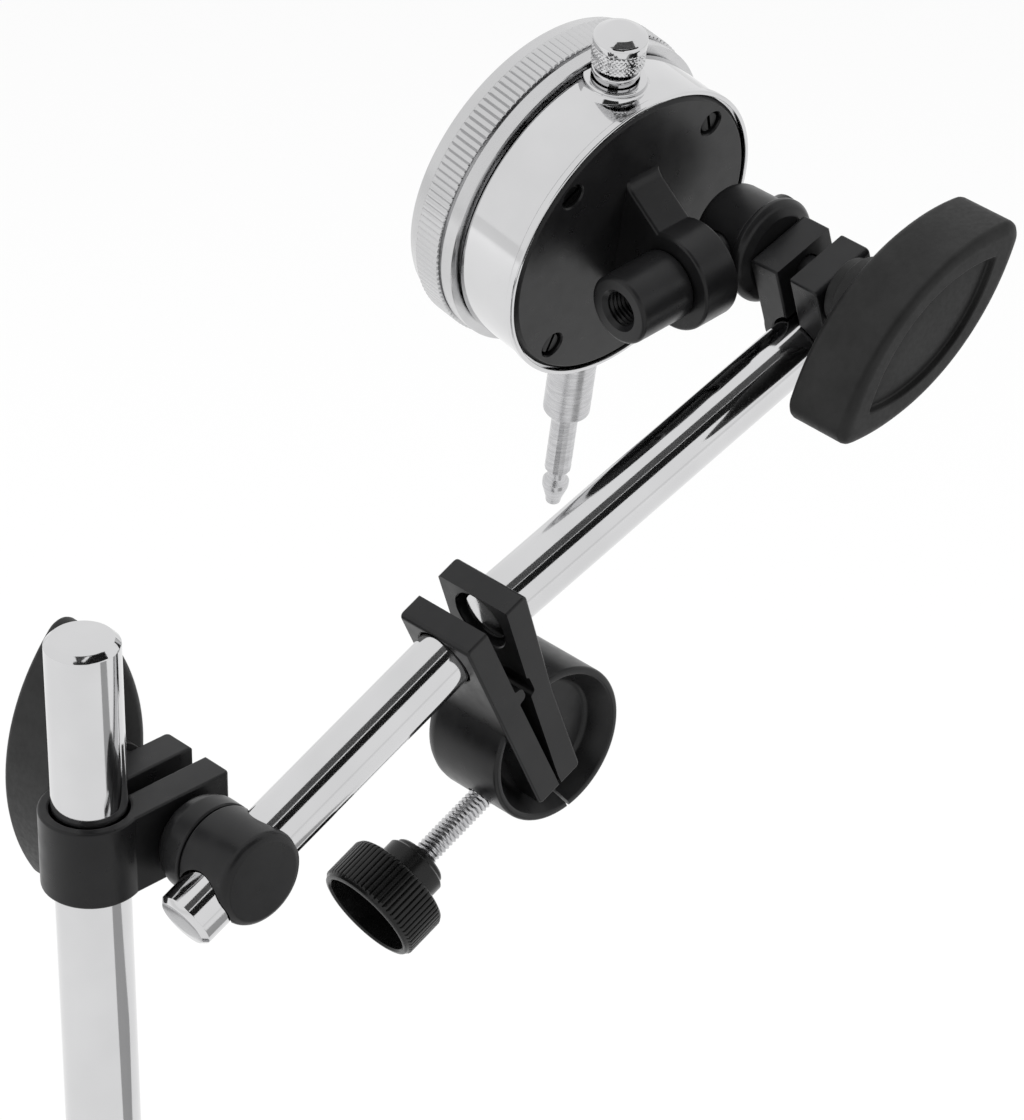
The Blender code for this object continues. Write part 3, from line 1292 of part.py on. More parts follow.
def dial_pieces(case):
    """The fixed centre of the dial, and the bezel with its turning dial ring, spacer ring and crystal."""
    dial_end = DIAL_START + DIAL_THICKNESS
    disc = turned("dial_centre", [(DIAL_SPLIT_RADIUS - GAP, DIAL_START), (DIAL_SPLIT_RADIUS - GAP, dial_end)])
    dial = piece("dial_centre", disc, DIAL_WHITE, case)
    hole = turned("hand_hole", [(ARBOR_RADIUS + GAP, DIAL_START - OVERRUN), (ARBOR_RADIUS + GAP, dial_end + OVERRUN)],
                  SMALL_STEPS)
    cut(dial, copies("hand_holes", hole, [shift(), shift(PINION_X, PINION_Y)]), case)

    bezel = frame("bezel_axis", case)
    ring = [(DIAL_SPLIT_RADIUS, DIAL_START), (DIAL_RING_RADIUS, DIAL_START), (DIAL_RING_RADIUS, dial_end),
            (DIAL_SPLIT_RADIUS, dial_end)]
    piece("dial_ring", turned("dial_ring", ring, ring=True), DIAL_WHITE, bezel)
    low, high = dial_end + GAP, CRYSTAL_START - GAP
    rehaut = [(REHAUT_INNER, low), (BEZEL_INNER - GAP, low), (BEZEL_INNER - GAP, high),
              (REHAUT_INNER + EDGE_ROUND, high)]
    piece("dial_spacer", turned("dial_spacer", rehaut, ring=True), ALUMINIUM, bezel)
    top = CRYSTAL_START + CRYSTAL_THICKNESS
    glass = [(CRYSTAL_RADIUS, CRYSTAL_START), (CRYSTAL_RADIUS, top - GAP), (BEZEL_LIP_RADIUS - GAP, top),
             (BEZEL_LIP_RADIUS * 0.7, top + CRYSTAL_DOME * 0.7), (BEZEL_LIP_RADIUS * 0.3, top + CRYSTAL_DOME)]
    piece("crystal", turned("crystal", glass), GLASS, bezel)
    ribs = BEZEL_RIBS
    edge = FINE_EDGE
    valley = BEZEL_RADIUS - BEZEL_RIB_DEPTH
    loops = [
        plain_loop(BEZEL_INNER, ribs, BEZEL_FRONT - BEZEL_LIP),
        plain_loop(BEZEL_INNER, ribs, BEZEL_START),
        plain_loop(BEZEL_PLAIN_RADIUS, ribs, BEZEL_START),
        plain_loop(BEZEL_PLAIN_RADIUS, ribs, BEZEL_PLAIN_END),
        ribbed_loop(BEZEL_RADIUS, BEZEL_RIB_DEPTH, ribs, BEZEL_PLAIN_END + edge),
        ribbed_loop(BEZEL_RADIUS, BEZEL_RIB_DEPTH, ribs, BEZEL_BAND_END),
        plain_loop(valley - edge, ribs, BEZEL_BAND_END + edge),
        plain_loop(BEZEL_FRONT_RADIUS, ribs, BEZEL_FRONT),
        plain_loop(BEZEL_LIP_RADIUS, ribs, BEZEL_FRONT),
        plain_loop(BEZEL_LIP_RADIUS, ribs, BEZEL_FRONT - BEZEL_LIP),
    ]
    piece("bezel", stacked("bezel", loops, ring=True), SATIN_CHROME, bezel)


def hand_mesh(name, length, tail, width, tip_width, hub, low, hub_top):
    """A tapered hand along +Y on a round hub."""
    taper = [(-width / 2.0, -tail), (width / 2.0, -tail), (tip_width / 2.0, length), (-tip_width / 2.0, length)]
    blade = prism(name, taper, low, low + POINTER_THICKNESS)
    round_hub = turned(name + "_hub", [(hub, low - GAP / 3.0), (hub, hub_top)], SMALL_STEPS)
    return blade, round_hub


def hands(pointer_axis, counter_axis):
    """The long pointer and the small turn counter."""
    table = (
        ("pointer", pointer_axis, POINTER_LENGTH, POINTER_TAIL, POINTER_WIDTH, POINTER_TIP_WIDTH,
         POINTER_HUB_RADIUS, POINTER_START, POINTER_HUB_TOP),
        ("counter_hand", counter_axis, COUNTER_LENGTH, COUNTER_TAIL, COUNTER_WIDTH, COUNTER_TIP_WIDTH,
         COUNTER_HUB_RADIUS + GAP, COUNTER_START, COUNTER_START + POINTER_THICKNESS + FINE_EDGE / 2.0),
    )
    for name, axis, length, tail, width, tip, hub, low, top in table:
        blade, round_hub = hand_mesh(name, length, tail, width, tip, hub, low, top)
        hand = piece(name, blade, HAND_BLACK, axis)
        add(hand, round_hub, axis)
        radius = ARBOR_RADIUS + GAP / 2.0
        bore = turned("hand_bore", [(radius, low - OVERRUN), (radius, top + OVERRUN)], SMALL_STEPS)
        cut(hand, bore, axis)


def indicator(case):
    indicator_case(case)
    tube_pieces(case)
    back_cover(case)
    spindle_pieces(case)
    movement_gears(case)
    movement_plates(case)
    return_spring(case)
    dial_pieces(case)
    hands(bpy.data.objects["pointer_axis"], bpy.data.objects["rack_pinion_axis"])


# Assembly

def stand():
    base = magnetic_base()
    seat = post(base)
    lower = frame("lower_clamp", seat, shift(z=POST_LENGTH - POST_ABOVE_CLAMP))
    clamp_collar("lower_collar", lower, LOWER)
    lower_bolt = frame("lower_bolt_axis", lower, shift(x=LOWER["bolt"]))
    wing_knob("lower_wing_knob", lower_bolt, LOWER, LOWER_WING_TURN)

    arm_turn = Matrix.Rotation(math.radians(-ARM_ANGLE), 4, "Y")
    arm_pivot = frame("arm_pivot", lower_bolt, arm_turn)
    eye_bolt("lower_eye_bolt", arm_pivot, LOWER, ONTO_X)
    washer("lower_washer", arm_pivot, LOWER)

    arm = frame("rod_1_axis", arm_pivot, shift(y=-LOWER["head_centre"]))
    piece("rod_1", rod_mesh("rod_1", -ROD_TAIL, ROD_1_LENGTH - ROD_TAIL), CHROME, arm, ONTO_X)
    adjuster = frame("adjuster_axis", arm)
    jaw_turn = Matrix.Rotation(math.radians(JAW_ANGLE), 4, "Y")
    outer = frame("rod_2_axis", adjuster, shift(x=PLATE_2_INNER) @ jaw_turn)
    frame("flex_axis", adjuster, shift(SLIT_APEX_U, 0.0, SLIT_APEX_H - FLEX_DEPTH))
    adjuster_half("adjuster_left_half", adjuster, -1, outer)
    adjuster_half("adjuster_right_half", adjuster, 1, outer)
    adjuster_screw(adjuster)
    piece("rod_2", rod_mesh("rod_2", 0.0, ROD_2_REACH + ROD_2_PAST_CLAMP), CHROME, outer, ONTO_X)

    roll = math.radians(EAR_ROLL)
    ears_up = Matrix((
        (0.0, 0.0, 1.0, 0.0),
        (-math.sin(roll), -math.cos(roll), 0.0, 0.0),
        (math.cos(roll), -math.sin(roll), 0.0, 0.0),
        (0.0, 0.0, 0.0, 1.0),
    ))
    upper = frame("upper_clamp", outer, shift(x=ROD_2_REACH) @ ears_up)
    clamp_collar("upper_collar", upper, UPPER)
    upper_bolt = frame("upper_bolt_axis", upper, shift(x=UPPER["bolt"]))
    wing_knob("upper_wing_knob", upper_bolt, UPPER, UPPER_WING_TURN)
    pin_turn = Matrix.Rotation(math.radians(PIN_ANGLE), 4, "Y")
    tilt_pivot = frame("upper_pivot", upper_bolt, pin_turn)
    eye_bolt("upper_eye_bolt", tilt_pivot, UPPER, Matrix())
    washer("upper_washer", tilt_pivot, UPPER)
    pin = frame("lug_pin_axis", tilt_pivot, shift(y=-UPPER["head_centre"]))
    lug_pin(pin)

    tilt = math.radians(TILT_ANGLE)
    case_turn = Matrix((
        (0.0, math.cos(tilt), -math.sin(tilt), 0.0),
        (0.0, -math.sin(tilt), -math.cos(tilt), 0.0),
        (-1.0, 0.0, 0.0, 0.0),
        (0.0, 0.0, 0.0, 1.0),
    ))
    case = frame("indicator_case_axis", pin, case_turn @ shift(CASE_ALONG_PIN, CASE_ABOVE_PIN, CASE_FROM_PIN))
    indicator(case)


stand()
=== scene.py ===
from math import asin, atan2, ceil, cos, degrees, pi, radians, sin, sqrt, tan

import bmesh
import bpy
from mathutils import Matrix, Vector
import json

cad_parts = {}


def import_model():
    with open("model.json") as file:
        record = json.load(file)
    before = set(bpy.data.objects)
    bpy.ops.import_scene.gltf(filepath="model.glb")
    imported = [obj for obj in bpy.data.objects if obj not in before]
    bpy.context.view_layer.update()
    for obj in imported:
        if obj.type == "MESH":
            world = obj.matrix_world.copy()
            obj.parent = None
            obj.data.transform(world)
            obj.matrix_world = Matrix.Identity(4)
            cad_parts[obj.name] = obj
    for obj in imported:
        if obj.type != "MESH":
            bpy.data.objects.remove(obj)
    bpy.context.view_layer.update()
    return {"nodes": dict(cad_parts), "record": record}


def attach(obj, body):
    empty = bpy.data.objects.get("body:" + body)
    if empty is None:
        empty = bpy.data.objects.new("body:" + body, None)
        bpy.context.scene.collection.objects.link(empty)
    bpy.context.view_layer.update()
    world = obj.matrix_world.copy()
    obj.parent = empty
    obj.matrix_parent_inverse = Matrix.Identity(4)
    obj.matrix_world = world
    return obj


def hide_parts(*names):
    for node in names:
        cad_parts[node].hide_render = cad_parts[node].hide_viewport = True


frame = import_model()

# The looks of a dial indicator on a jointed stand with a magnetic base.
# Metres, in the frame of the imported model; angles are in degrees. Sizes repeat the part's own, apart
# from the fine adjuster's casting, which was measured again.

record = frame["record"]
BODY_OF = {node: body for body, nodes in record["behaviour"]["bodies"].items() for node in nodes}
SLOT_OF = {entry["node"]: entry["material_slot"] for entry in record["subparts"]}

MM = 0.001
GAP = 0.3 * MM
OVERRUN = 2.0 * MM
HAIR = 0.02 * MM

# Mesh settings
WIDE_STEPS = 128
ROUND_STEPS = 72
SMALL_STEPS = 40
FILLET_STEPS = 5
PLATE_STEPS = 3
BLADE_STEPS = 2
SHARP_ANGLE = 32.0
# The share of a side that a fillet may take, and of a radius where a flat face's inner part starts
FILLET_REACH = 0.49
CORE = 0.5

# Magnetic base
BASE_LENGTH = 60.0 * MM
BASE_WIDTH = 50.0 * MM
BASE_HEIGHT = 55.0 * MM
VEE_WIDTH = 22.0 * MM
VEE_DEPTH = 6.0 * MM
ROTOR_HEIGHT = 28.0 * MM
COVER_THICKNESS = 2.0 * MM
COVER_MARGIN = 0.6 * MM
COVER_CORNER = 3.0 * MM
COVER_EDGE = 0.4 * MM
COVER_SCREW_RADIUS = 1.5 * MM
COVER_SCREW_HEAD = 2.7 * MM
COVER_SCREW_HEAD_HEIGHT = 1.3 * MM
COVER_SCREW_LENGTH = 9.0 * MM
COVER_SCREW_CROWN = 0.15
COVER_SCREW_FLAT = 0.9
COVER_SCREW_INSET = 5.0 * MM
CROSS_WIDTH = 0.7 * MM
CROSS_LENGTH = 3.0 * MM
CROSS_DEPTH = 0.7 * MM
SWITCH_RADIUS = 18.0 * MM
SWITCH_DISC = 6.0 * MM
SWITCH_GRIP_LENGTH = 31.0 * MM
SWITCH_GRIP_WIDTH = 9.0 * MM
SWITCH_GRIP_HEIGHT = 10.0 * MM
SWITCH_GRIP_ROUND = 0.4
SWITCH_SOCKET = 4.0 * MM
SWITCH_EDGE = 0.9 * MM
ROTOR_SHAFT_RADIUS = 5.0 * MM

# Post and arm pose
POST_RADIUS = 6.0 * MM
POST_LENGTH = 176.0 * MM
POST_CHAMFER = 1.0 * MM
POST_FROM_CENTRE = 18.0 * MM
POST_STUD_RADIUS = 4.0 * MM
POST_STUD_LENGTH = 8.5 * MM
POST_ABOVE_CLAMP = 37.5 * MM
ARM_ANGLE = 24.22
JAW_ANGLE = 6.37
EAR_ROLL = 2.20
PIN_ANGLE = -13.81
TILT_ANGLE = -10.16
LOWER_WING_TURN = 8.0
UPPER_WING_TURN = 15.0

# Rods
ROD_RADIUS = 5.0 * MM
ROD_CHAMFER = 0.8 * MM
ROD_TAIL = 12.8 * MM
ROD_2_REACH = 79.1 * MM
ROD_2_PAST_CLAMP = 8.0 * MM
ROD_RECESS = 1.1 * MM
PIN_RADIUS = 4.0 * MM

# Clamps
LOWER = {
    "bore": POST_RADIUS, "collar": 8.1 * MM, "height": 14.0 * MM, "ear_reach": 22.0 * MM,
    "ears": 15.0 * MM, "slot": 3.3 * MM, "bolt": 12.83 * MM, "stud": 3.0 * MM, "neck": 5.6 * MM,
    "neck_length": 3.0 * MM, "head": 8.0 * MM, "head_flat": 7.4 * MM, "head_centre": 20.16 * MM,
    "head_half": 5.7 * MM, "hole": ROD_RADIUS, "washer": 8.0 * MM, "washer_rim": 3.4 * MM, "dome": 5.0 * MM,
}
UPPER = {
    "bore": ROD_RADIUS, "collar": 7.6 * MM, "height": 12.8 * MM, "ear_reach": 15.4 * MM,
    "ears": 14.8 * MM, "slot": 2.8 * MM, "bolt": 11.3 * MM, "stud": 2.4 * MM, "neck": 4.6 * MM,
    "neck_length": 1.2 * MM, "head": 8.0 * MM, "head_flat": 7.2 * MM, "head_centre": 14.52 * MM,
    "head_half": 5.7 * MM, "hole": PIN_RADIUS, "washer": 9.0 * MM, "washer_rim": 1.0 * MM, "dome": 6.6 * MM,
}
EAR_CORNER = 0.9 * MM
EAR_ROOT = 1.2 * MM
CAST_EDGE = 0.45 * MM
EYE_EDGE_SHARE = 2.4
WASHER_SHOULDER = 0.75
WASHER_SHOULDER_RISE = 0.42

# Wing knobs
WING_LENGTH = 46.0 * MM
WING_WIDTH = 19.0 * MM
WING_THICKNESS = 12.8 * MM
WING_TIP = 3.0 * MM
WING_EDGE = 1.5 * MM
WING_RIM = 3.4 * MM
WING_RIM_TIP = 6.6 * MM
WING_RECESS = 1.1 * MM
WING_RECESS_EDGE = 0.3 * MM
WING_HUB_RADIUS = 7.0 * MM
WING_HUB_STEP = 5.8 * MM
WING_HUB_LENGTH = 5.6 * MM
WING_SOCKET = 12.0 * MM
WING_STEP_SHARE = 0.45
WING_TIP_FALL = 0.8
WING_TIP_LEAST = 0.12

# Fine adjuster
OUTER_AXIS_START = 56.4 * MM
PLATE_1_INNER = 51.4 * MM
PLATE_2_INNER = 55.3 * MM
PLATE_THICKNESS = 4.6 * MM
PLATE_TOP = 5.9 * MM
PLATE_HALF_WIDTH = 7.9 * MM
BAR_RIGHT = 56.4 * MM
BAR_SHOULDER = -15.5 * MM
BAR_SHOULDER_U = 57.7 * MM
BAR_BOTTOM = -33.2 * MM
DRUM_CENTRE_U = 54.6 * MM
DRUM_CENTRE_H = -26.5 * MM
DRUM_RADIUS = 13.5 * MM
DRUM_BACK = 10.4 * MM
DRUM_FRONT = 7.1 * MM
DRUM_BACK_ROUND = 3.2 * MM
DRUM_FRONT_ROUND = 0.9 * MM
DISH_MOUTH = 12.3 * MM
DISH_FLOOR = 9.8 * MM
DISH_DEPTH = 4.0 * MM
SLIT_APEX_U = 51.7 * MM
SLIT_APEX_H = -31.0 * MM
SLIT_APEX_HALF = 0.25 * MM
SLIT_LEFT = 0.4 * MM
SLIT_RIGHT = 2.0 * MM
NUB_HEIGHT = -10.4 * MM
NUB_HALF = 1.1 * MM
POCKET_HALF = 1.6 * MM
NUB_REACH = 1.6 * MM
POCKET_REACH = 1.1 * MM
SLIT_TAIL = 14.0 * MM
ADJUST_SCREW_RADIUS = 2.1 * MM
ADJUST_SCREW_H = -30.6 * MM
ADJUST_SCREW_TIP = 3.4 * MM
ADJUST_HOLE_SPARE = 0.6 * MM
THREAD_PITCH = 0.8 * MM
THREAD_DEPTH = 0.36 * MM
THREAD_ROWS = 6
KNOB_RADIUS = 9.2 * MM
KNOB_START = 14.4 * MM
KNOB_BAND = 8.3 * MM
KNOB_RIM = 1.5 * MM
KNOB_CUP_DEPTH = 6.4 * MM
KNOB_HUB_RADIUS = 5.4 * MM
KNOB_HUB_STEP = 4.6 * MM
KNOB_HUB_LENGTH = 4.8 * MM
KNOB_NECK_LENGTH = 1.0 * MM
KNOB_RIBS = 60
KNOB_RIB_DEPTH = 0.35 * MM
RIB_PROFILE = ((0.0, 0.0), (0.3, 0.15), (0.5, 1.0), (0.7, 0.15))

# Lug pin and sleeve nut
PIN_TAIL = 9.6 * MM
PIN_SHOULDER_RADIUS = 6.2 * MM
PIN_SHOULDER_START = 9.4 * MM
LUG_START = 11.0 * MM
LUG_THICKNESS = 7.4 * MM
LUG_RADIUS = 8.6 * MM
LUG_ROOT_UP = 14.5 * MM
LUG_ROOT_DOWN = 9.5 * MM
LUG_ROOT_FILLET = 3.0 * MM
LUG_EDGE = 0.6 * MM
LUG_ARC_END = 28.0
LUG_ARC_RISE = 0.47
PIN_THREAD_RADIUS = 2.7 * MM
SLEEVE_RADIUS = 6.0 * MM
SLEEVE_END = 30.0 * MM
SLEEVE_THREAD_START = 24.0 * MM
SLEEVE_CHAMFER = 0.7 * MM
SLEEVE_THREAD_DEPTH = 0.3 * MM

# Indicator
CASE_FROM_PIN = 11.91 * MM
CASE_ALONG_PIN = 15.34 * MM
CASE_ABOVE_PIN = 0.43 * MM
CASE_RADIUS = 26.5 * MM
CASE_INNER = 24.0 * MM
CASE_LIP_RADIUS = 26.9 * MM
CASE_LIP_DEPTH = 1.2 * MM
CASE_DEPTH = 12.3 * MM
NECK_RADIUS = 25.5 * MM
NECK_END = 17.0 * MM
LEDGE_INNER = 22.3 * MM
LEDGE_START = 10.9 * MM
LEDGE_END = 11.4 * MM
COVER_RADIUS = 25.86 * MM
COVER_FLANGE = 1.0 * MM
COVER_BEVEL = 0.7 * MM
COVER_SPIGOT_RADIUS = 23.6 * MM
COVER_SPIGOT_END = 2.5 * MM
COVER_SCREW_PLACE = 15.6 * MM
INDICATOR_SCREW_HEAD = 1.9 * MM
INDICATOR_SCREW_SINK = 0.5 * MM
INDICATOR_SCREW_TURN = 37.0
SPINDLE_DEPTH = 8.35 * MM
SPINDLE_RADIUS = 2.25 * MM
SPINDLE_TOP = 33.0 * MM
SPINDLE_BOTTOM = 57.6 * MM
STEM_RADIUS = 4.0 * MM
STEM_START = 23.9 * MM
STEM_END = 44.0 * MM
TUBE_RADIUS = 3.7 * MM
TUBE_START = 23.9 * MM
TUBE_END = 28.6 * MM
TUBE_RING_RADIUS = 4.0 * MM
TUBE_RING_END = 29.5 * MM
BOSS_RADIUS = 5.2 * MM
BOSS_END = 27.6 * MM
BOSS_FLARE = 0.35
CAP_RADIUS = 4.45 * MM
CAP_START = 30.4 * MM
CAP_BAND_END = 33.9 * MM
CAP_TOP = 36.6 * MM
CAP_NECK_SHARE = 0.94
KNURLS = 36
KNURL_DEPTH = 0.22 * MM
KNURL_STEPS = 4
KNURL_ROWS = 16
POINT_RADIUS = 2.27 * MM
POINT_NECK = 1.5 * MM
POINT_BULGE = 60.7 * MM
POINT_END = 65.2 * MM
POINT_STUD_RADIUS = 1.2 * MM
# The contact point in shares of its radius: (radius, height over its bottom), then heights from its bulge
POINT_TIP = ((0.2, 0.0), (0.55, 0.0), (0.62, 0.5))
POINT_BULGE_LOW = -0.3
POINT_BULGE_HIGH = 0.2
POINT_NECK_START = 0.6

# Bezel, dial and hands
BEZEL_START = 12.8 * MM
BEZEL_PLAIN_RADIUS = 28.0 * MM
BEZEL_PLAIN_END = 15.7 * MM
BEZEL_GROOVE = 0.35 * MM
BEZEL_RADIUS = 28.5 * MM
BEZEL_BAND_END = 20.8 * MM
BEZEL_FRONT_RADIUS = 27.2 * MM
BEZEL_FRONT = 23.5 * MM
BEZEL_LIP_RADIUS = 24.2 * MM
BEZEL_LIP = 0.6 * MM
BEZEL_INNER = 25.9 * MM
BEZEL_RIBS = 144
BEZEL_RIB_DEPTH = 0.32 * MM
CRYSTAL_RADIUS = 25.6 * MM
CRYSTAL_START = 21.2 * MM
CRYSTAL_THICKNESS = 1.3 * MM
CRYSTAL_DOME = 0.5 * MM
DIAL_START = 17.5 * MM
DIAL_THICKNESS = 0.6 * MM
DIAL_RING_RADIUS = 25.3 * MM
DIAL_SPLIT_RADIUS = 16.5 * MM
REHAUT_INNER = 24.3 * MM
DIAL_DIVISIONS = 100
MARK_OUTER = 24.0 * MM
MARK_LENGTHS = {1: 1.9 * MM, 5: 2.8 * MM, 10: 3.6 * MM}
MARK_WIDTHS = {1: 0.16 * MM, 5: 0.22 * MM, 10: 0.34 * MM}
MARK_HEIGHT = 0.03 * MM
NUMBER_SIZE = 3.1 * MM
NUMBER_RADIUS = 18.5 * MM
NUMBER_CURVE_STEPS = 3
COUNTER_RADIUS = 4.9 * MM
COUNTER_NUMBER_SIZE = 1.15 * MM
COUNTER_DIVISIONS = 10
COUNTER_MARK_PLACE = 0.72
COUNTER_NUMBER_PLACE = 0.9
POINTER_START = 19.3 * MM
POINTER_THICKNESS = 0.3 * MM
POINTER_LENGTH = 20.5 * MM
POINTER_TAIL = 6.0 * MM
POINTER_WIDTH = 1.6 * MM
POINTER_TIP_WIDTH = 0.5 * MM
POINTER_HUB_RADIUS = 2.0 * MM
POINTER_HUB_TOP = 20.2 * MM
COUNTER_START = 18.5 * MM
COUNTER_LENGTH = 3.2 * MM
COUNTER_TAIL = 1.4 * MM
COUNTER_WIDTH = 0.8 * MM
COUNTER_TIP_WIDTH = 0.4 * MM
COUNTER_HUB_RADIUS = 1.2 * MM
RACK_PITCH = 1.0 * MM
RACK_PINION_TEETH = 10
RACK_TOOTH_HEIGHT = 0.4 * MM
RACK_FACE = 1.85 * MM
WHEEL_DISTANCE = 11.0 * MM

# Camera, refitted to the photograph without a lens shift; its frame is 1024 x 1120 pixels
CAMERA_PLACE = (-428.96 * MM, -510.74 * MM, 657.59 * MM)
CAMERA_TURN = -43.401
CAMERA_PITCH = 31.739
CAMERA_ROLL = 0.356
FOCAL_PIXELS = 5253.4
FRAME_PIXELS = 1120.0
SENSOR_WIDTH = 36.0
CLIP_START = 10.0 * MM


def spin(angle, axis):
    return Matrix.Rotation(radians(angle), 4, axis)


# Turns of a mesh built along +Z
ONTO_X = spin(90.0, "Y")
ONTO_MINUS_X = spin(-90.0, "Y")
ONTO_Y = spin(-90.0, "X")
ONTO_MINUS_Y = spin(90.0, "X")
UPSIDE_DOWN = spin(180.0, "X")

# Turns of a mesh built from an outline: length up, thickness out; standing along Y; standing along X
LENGTH_UP_THICKNESS_OUT = Matrix(((0, 1, 0, 0), (0, 0, 1, 0), (1, 0, 0, 0), (0, 0, 0, 1)))
OUTLINE_ALONG_Y = Matrix(((0, 0, 1, 0), (1, 0, 0, 0), (0, 1, 0, 0), (0, 0, 0, 1)))
OUTLINE_ALONG_X = Matrix(((1, 0, 0, 0), (0, 0, -1, 0), (0, 1, 0, 0), (0, 0, 0, 1)))


def shift(x=0.0, y=0.0, z=0.0):
    return Matrix.Translation((x, y, z))


def joint_frames():
    """The frame of each moving group at rest, as the part places them: another group's frame and a step."""
    roll, tilt = radians(EAR_ROLL), radians(TILT_ANGLE)
    ears_up = Matrix((
        (0.0, 0.0, 1.0, 0.0),
        (-sin(roll), -cos(roll), 0.0, 0.0),
        (cos(roll), -sin(roll), 0.0, 0.0),
        (0.0, 0.0, 0.0, 1.0),
    ))
    case_turn = Matrix((
        (0.0, cos(tilt), -sin(tilt), 0.0),
        (0.0, -sin(tilt), -cos(tilt), 0.0),
        (-1.0, 0.0, 0.0, 0.0),
        (0.0, 0.0, 0.0, 1.0),
    ))
    places = {"base": shift(y=(BASE_WIDTH + VEE_WIDTH) / 4.0)}
    for name, parent, step in (
        ("switch", "base", shift(z=ROTOR_HEIGHT)),
        ("seat", "base", shift(x=-POST_FROM_CENTRE, z=BASE_HEIGHT)),
        ("lower", "seat", shift(z=POST_LENGTH - POST_ABOVE_CLAMP)),
        ("lower_bolt", "lower", shift(x=LOWER["bolt"])),
        ("arm_pivot", "lower_bolt", spin(-ARM_ANGLE, "Y")),
        ("arm", "arm_pivot", shift(y=-LOWER["head_centre"])),
        ("screw", "arm", shift(z=ADJUST_SCREW_H)),
        ("outer", "arm", shift(x=OUTER_AXIS_START) @ spin(JAW_ANGLE, "Y")),
        ("upper", "outer", shift(x=ROD_2_REACH) @ ears_up),
        ("upper_bolt", "upper", shift(x=UPPER["bolt"])),
        ("tilt_pivot", "upper_bolt", spin(PIN_ANGLE, "Y")),
        ("pin", "tilt_pivot", shift(y=-UPPER["head_centre"])),
        ("case", "pin", case_turn @ shift(CASE_ALONG_PIN, CASE_ABOVE_PIN, CASE_FROM_PIN)),
        ("spindle", "case", shift(z=SPINDLE_DEPTH) @ ONTO_Y),
    ):
        places[name] = places[parent] @ step
    return places


AT = joint_frames()


# Mesh tools

def in_scene(name, data):
    """A new object of that data, linked to the scene."""
    thing = bpy.data.objects.new(name, data)
    bpy.context.collection.objects.link(thing)
    return thing


def evaluated(thing):
    """The mesh of an object as its modifiers or its curves make it."""
    depsgraph = bpy.context.evaluated_depsgraph_get()
    return bpy.data.meshes.new_from_object(thing.evaluated_get(depsgraph))


def closed_mesh(points, faces):
    """A mesh whose faces all point out."""
    mesh = bpy.data.meshes.new("shape")
    mesh.from_pydata([tuple(point) for point in points], [], faces)
    work = bmesh.new()
    work.from_mesh(mesh)
    bmesh.ops.recalc_face_normals(work, faces=work.faces)
    work.to_mesh(mesh)
    work.free()
    return mesh


def stacked(loops, ring=False):
    """A solid through loops of equally many points: capped at both ends, or joined end to end as a ring."""
    count = len(loops[0])
    points = [point for loop in loops for point in loop]
    faces = []
    for level in range(len(loops) if ring else len(loops) - 1):
        low = level * count
        high = (level + 1) % len(loops) * count
        for i in range(count):
            j = (i + 1) % count
            faces.append((low + i, low + j, high + j, high + i))
    if not ring:
        last = (len(loops) - 1) * count
        faces.append(tuple(range(count)))
        faces.append(tuple(last + i for i in range(count)))
    return closed_mesh(points, faces)


def circle(radius, height, steps):
    turns = [2.0 * pi * i / steps for i in range(steps)]
    return [(radius * cos(t), radius * sin(t), height) for t in turns]


def rounded(corners, closed=False, steps=FILLET_STEPS):
    """The line through corners (a, b) or (a, b, radius), each radius as an arc."""
    points = []
    count = len(corners)
    for i, corner in enumerate(corners):
        here = Vector(corner[:2])
        if len(corner) < 3 or (not closed and i in (0, count - 1)):
            points.append(tuple(here))
            continue
        before = Vector(corners[i - 1][:2]) - here
        after = Vector(corners[(i + 1) % count][:2]) - here
        half = before.angle(after) / 2.0
        reach = min(corner[2] / tan(half), before.length * FILLET_REACH, after.length * FILLET_REACH)
        radius = reach * tan(half)
        middle = before.normalized() + after.normalized()
        centre = here + middle.normalized() * (radius / sin(half))
        start = here + before.normalized() * reach - centre
        end = here + after.normalized() * reach - centre
        first = atan2(start.y, start.x)
        turn = (atan2(end.y, end.x) - first + pi) % (2.0 * pi) - pi
        for k in range(steps + 1):
            angle = first + turn * k / steps
            points.append((centre.x + radius * cos(angle), centre.y + radius * sin(angle)))
    return points


def turned(corners, steps=ROUND_STEPS, ring=False):
    """A solid of revolution about +Z through rounded (radius, height) corners."""
    return stacked([circle(radius, height, steps) for radius, height in rounded(corners, ring)], ring)


def arc(centre, radius, start, end, steps):
    """Points from one angle to another, both ends included."""
    angles = [radians(start + (end - start) * i / steps) for i in range(steps + 1)]
    return [(centre[0] + radius * cos(t), centre[1] + radius * sin(t)) for t in angles]


def inset(outline, distance):
    """A closed outline moved inwards by a distance."""
    count = len(outline)
    area = sum(outline[i - 1][0] * outline[i][1] - outline[i][0] * outline[i - 1][1] for i in range(count))
    side = 1.0 if area > 0.0 else -1.0
    moved_points = []
    for i in range(count):
        here = Vector(outline[i])
        before = (here - Vector(outline[i - 1])).normalized()
        after = (Vector(outline[(i + 1) % count]) - here).normalized()
        normals = Vector((-before.y, before.x)) + Vector((-after.y, after.x))
        scale = 2.0 / max(normals.length_squared, 1.0)
        moved_points.append(tuple(here + normals * side * distance * scale))
    return moved_points


def plate(outline, low, high, edge, steps=PLATE_STEPS):
    """An outline made solid between two heights, its rims rounded."""
    loops = []
    for end, inward in ((low, 1.0), (high, -1.0)):
        levels = []
        for k in range(steps + 1):
            turn = pi / 2.0 * k / steps
            level = end + inward * edge * (1.0 - sin(turn))
            levels.append([(x, y, level) for x, y in inset(outline, edge * (1.0 - cos(turn)))])
        loops += levels[::-1] if end == low else levels
    return stacked(loops)


